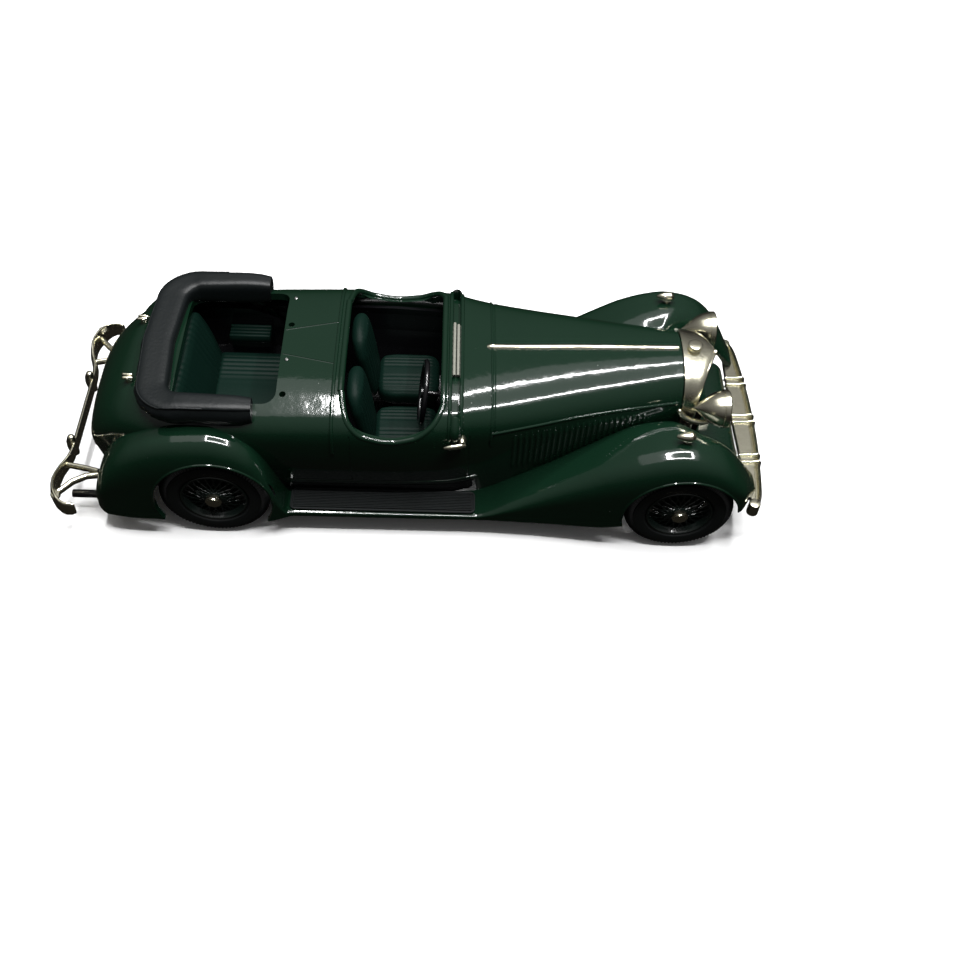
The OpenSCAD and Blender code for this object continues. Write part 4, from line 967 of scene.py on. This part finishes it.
def build_wheel(end, side_name):
    """One tyre, wheel and hub cap; distances along the axle are measured inwards from the tyre's outer face."""
    x, body = (WHEELBASE, FRONT_BODY) if end == "front" else (0.0, REAR_BODY)
    out = Vector((0, -1 if side_name == "right" else 1, 0))
    tag = "%s_%s" % (end, side_name)
    lo, hi = node_mm("tyre_" + tag)
    place = Vector((x, out.y * max(abs(lo.y), abs(hi.y)), AXLE_Z))
    at = polar(place, out)
    profile = [(-0.45, RIM_R), (-0.1, RIM_R + 0.35), (0, RIM_R + 0.9), (-0.02, RIM_R + 1.5), (-0.06, TYRE_R - 1.35),
               (-0.16, TYRE_R - 1.25), (-0.22, TYRE_R - 1.0), (-0.5, TYRE_R - 0.5), (-0.85, TYRE_R - 0.18),
               (-1.2, TYRE_R - 0.04), (-1.5, TYRE_R), (-1.58, TYRE_R - 0.18), (-1.72, TYRE_R - 0.18), (-1.8, TYRE_R),
               (-2.0, TYRE_R), (-2.06, TYRE_R - 0.15)]
    profile += [(-TYRE_W - a, r) for a, r in profile[::-1]]
    rings = []
    for along, r in profile:
        shoulder = TYRE_R - 1.3 < r < TYRE_R - 0.02 and not 1.35 - TYRE_W <= along <= -1.35
        inwards = -1 if along > -2 else 1
        dips = [TOOTH_DEPTH if shoulder and k % 2 else 0 for k in range(2 * TEETH)]
        rings.append([at(along + dip * inwards, r - dip * 0.4, t) for dip, t in zip(dips, turn_round(2 * TEETH))])
    finish(loft(rings, closed=True), "tyre_%s_moulded" % tag, RUBBER, ["tyre_" + tag], body, sharp=30)
    rim = [(-0.5, RIM_R), (-0.3, RIM_R - 0.02), (-0.18, RIM_R - 0.14), (-0.16, RIM_R - 0.32), (-0.3, RIM_R - 0.46),
           (-0.7, RIM_R - 0.5), (-1.0, RIM_R - 0.75), (-TYRE_W / 2, RIM_R - 0.95), (-TYRE_W + 1.0, RIM_R - 0.75),
           (-TYRE_W + 0.5, RIM_R - 0.5), (-TYRE_W + 0.5, RIM_R)]
    hub = [(-TYRE_W + 0.6, 0.8), (-TYRE_W + 0.62, 1.5), (-2.5, 1.3), (-0.9, 1.25), (-0.25, 1.5), (-0.02, 1.45),
           (0, 0.5)]
    disc = [(-3.7, 0.8), (-3.7, RIM_R - 0.85), (-3.45, RIM_R - 0.85), (-3.3, 3.4), (-3.3, 0.8)]
    parts = [revolve(rim, place, out, 96, closed=True), revolve(hub, place, out, 48), revolve(disc, place, out, 64)]
    for row, (hub_at, hub_r, rim_at, lean, count) in enumerate(SPOKE_ROWS):
        for k in range(count):
            a = 2 * math.pi * (k + 0.5 * (row % 2)) / count
            parts.append(tube([at(hub_at, hub_r, a + lean), at(rim_at, RIM_R - 0.72, a)], 0.11, 8))
    finish(join(parts), "wire_wheel_%s_laced" % tag, WHEEL, ["wire_wheel_" + tag], body, sharp=40)
    cap = revolve([(0.02, 1.32), (0.42, 1.32), (0.52, 1.2)], place, out, 8)
    ear = revolve([(0.5, 0.95), (0.62, 0.9), (0.7, 0.7), (0.74, 0.02)], place, out, 48)
    finish(join([cap, ear]), "hub_cap_%s_bright" % tag, NICKEL, ["hub_cap_" + tag], body, sharp=30)


# ---- build
build_body()
build_wing(-1, "wing_and_board_right")
build_wing(1, "wing_and_board_left")
build_apron()
build_mats()
for side, name in ((-1, "front_seat_right"), (1, "front_seat_left")):
    build_front_seat(side, name)
build_rear_seat()
build_steering()
build_hood()
build_strip()
build_handles()
build_studs()
build_windscreen()
build_radiator()
build_lamps()
build_front_bumper()
build_rear_bumper()
build_exhaust()
for end in ("front", "rear"):
    for side_name in ("right", "left"):
        build_wheel(end, side_name)
for node, finish_material in (("baseplate", SATIN_BLACK), ("base_screws", STEEL), ("interior_tub", BLACK),
                              ("dashboard", BLACK), ("front_bumper_irons", NICKEL), ("front_axle", STEEL),
                              ("rear_axle", STEEL)):
    o = frame["nodes"][node]
    o.data.materials.clear()
    o.data.materials.append(finish_material)

# ---- stage
ground = raw([(-3000, -3000, 0), (3000, -3000, 0), (3000, 3000, 0), (-3000, 3000, 0)], [(0, 1, 2, 3)])
ground.name = "floor"
floor_paint = bpy.data.materials.new("floor_white")
floor_paint.use_nodes = True
for socket, value in (("Base Color", (0.86, 0.86, 0.86, 1)), ("Roughness", 0.9), ("Specular IOR Level", 0.1)):
    floor_paint.node_tree.nodes["Principled BSDF"].inputs[socket].default_value = value
ground.data.materials.append(floor_paint)
# a white floor would light the dark paint from below
ground.visible_glossy = False
ground.visible_diffuse = False


def area_light(name, place, target, size, size_y, energy):
    data = bpy.data.lights.new(name, "AREA")
    data.shape = "RECTANGLE"
    data.size, data.size_y, data.energy = size, size_y, energy
    o = new_object(name, data)
    o.location = place
    o.rotation_euler = (Vector(target) - Vector(place)).to_track_quat("-Z", "Y").to_euler()


# a rectangular lamp over the car, of four thin strips
LIGHT_H, STRIP, STRIP_POWER = 0.42, 0.014, 1.15
LIGHT_X, LIGHT_Y = (-0.06, 0.19), (-0.1, 0.13)
mid_x, mid_y = sum(LIGHT_X) / 2, sum(LIGHT_Y) / 2
long_x, long_y = LIGHT_X[1] - LIGHT_X[0], LIGHT_Y[1] - LIGHT_Y[0]
for name, x, y, sx, sy in (("strip_back", mid_x, LIGHT_Y[1], long_x, STRIP),
                           ("strip_front", mid_x, LIGHT_Y[0], long_x, STRIP),
                           ("strip_rear", LIGHT_X[0], mid_y, STRIP, long_y),
                           ("strip_ahead", LIGHT_X[1], mid_y, STRIP, long_y)):
    area_light(name, (x, y, LIGHT_H), (x, y, 0), sx, sy, STRIP_POWER)
area_light("ceiling", (0, 0.1, 0.9), (0, 0.02, 0), 1.1, 0.9, 2.4)

world = bpy.data.worlds.new("studio")
bpy.context.scene.world = world
world.use_nodes = True
wn, wl = world.node_tree.nodes, world.node_tree.links
coords = wn.new("ShaderNodeTexCoord")
split = wn.new("ShaderNodeSeparateXYZ")
ramp = wn.new("ShaderNodeValToRGB")
below, above = ramp.color_ramp.elements
below.position, below.color = 0.48, (0.03, 0.028, 0.024, 1)
above.position, above.color = 0.95, (0.5, 0.5, 0.5, 1)
half = wn.new("ShaderNodeMath")
half.operation = "MULTIPLY_ADD"
half.inputs[1].default_value = half.inputs[2].default_value = 0.5
wl.new(coords.outputs["Generated"], split.inputs[0])
wl.new(split.outputs["Z"], half.inputs[0])
wl.new(half.outputs[0], ramp.inputs[0])
wl.new(ramp.outputs[0], wn["Background"].inputs["Color"])
wn["Background"].inputs["Strength"].default_value = 0.5

# ---- camera
ELEVATION, YAW, ROLL = (math.radians(a) for a in (51.15, -3.14, 3.94))
FOCAL_PER_WIDTH = 1.2026
camera_data = bpy.data.cameras.new("camera")
camera = new_object("camera", camera_data)
turn = Matrix.Rotation(YAW, 3, "Z")
forward = turn @ Vector((0, math.cos(ELEVATION), -math.sin(ELEVATION)))
right = turn @ Vector((1, 0, 0))
up = turn @ Vector((0, math.sin(ELEVATION), math.cos(ELEVATION)))
right, up = right * math.cos(ROLL) + up * math.sin(ROLL), up * math.cos(ROLL) - right * math.sin(ROLL)
pose = Matrix((right, up, -forward)).transposed().to_4x4()
pose.translation = Vector((REAR_X + 35.3 * MM, -129.62 * MM, 152.92 * MM))
camera.matrix_world = pose
camera_data.sensor_width = 36
camera_data.lens = 36 * FOCAL_PER_WIDTH
camera_data.clip_start = 0.01
camera_data.clip_end = 20
bpy.context.scene.camera = camera
bpy.context.scene.view_settings.view_transform = "Standard"
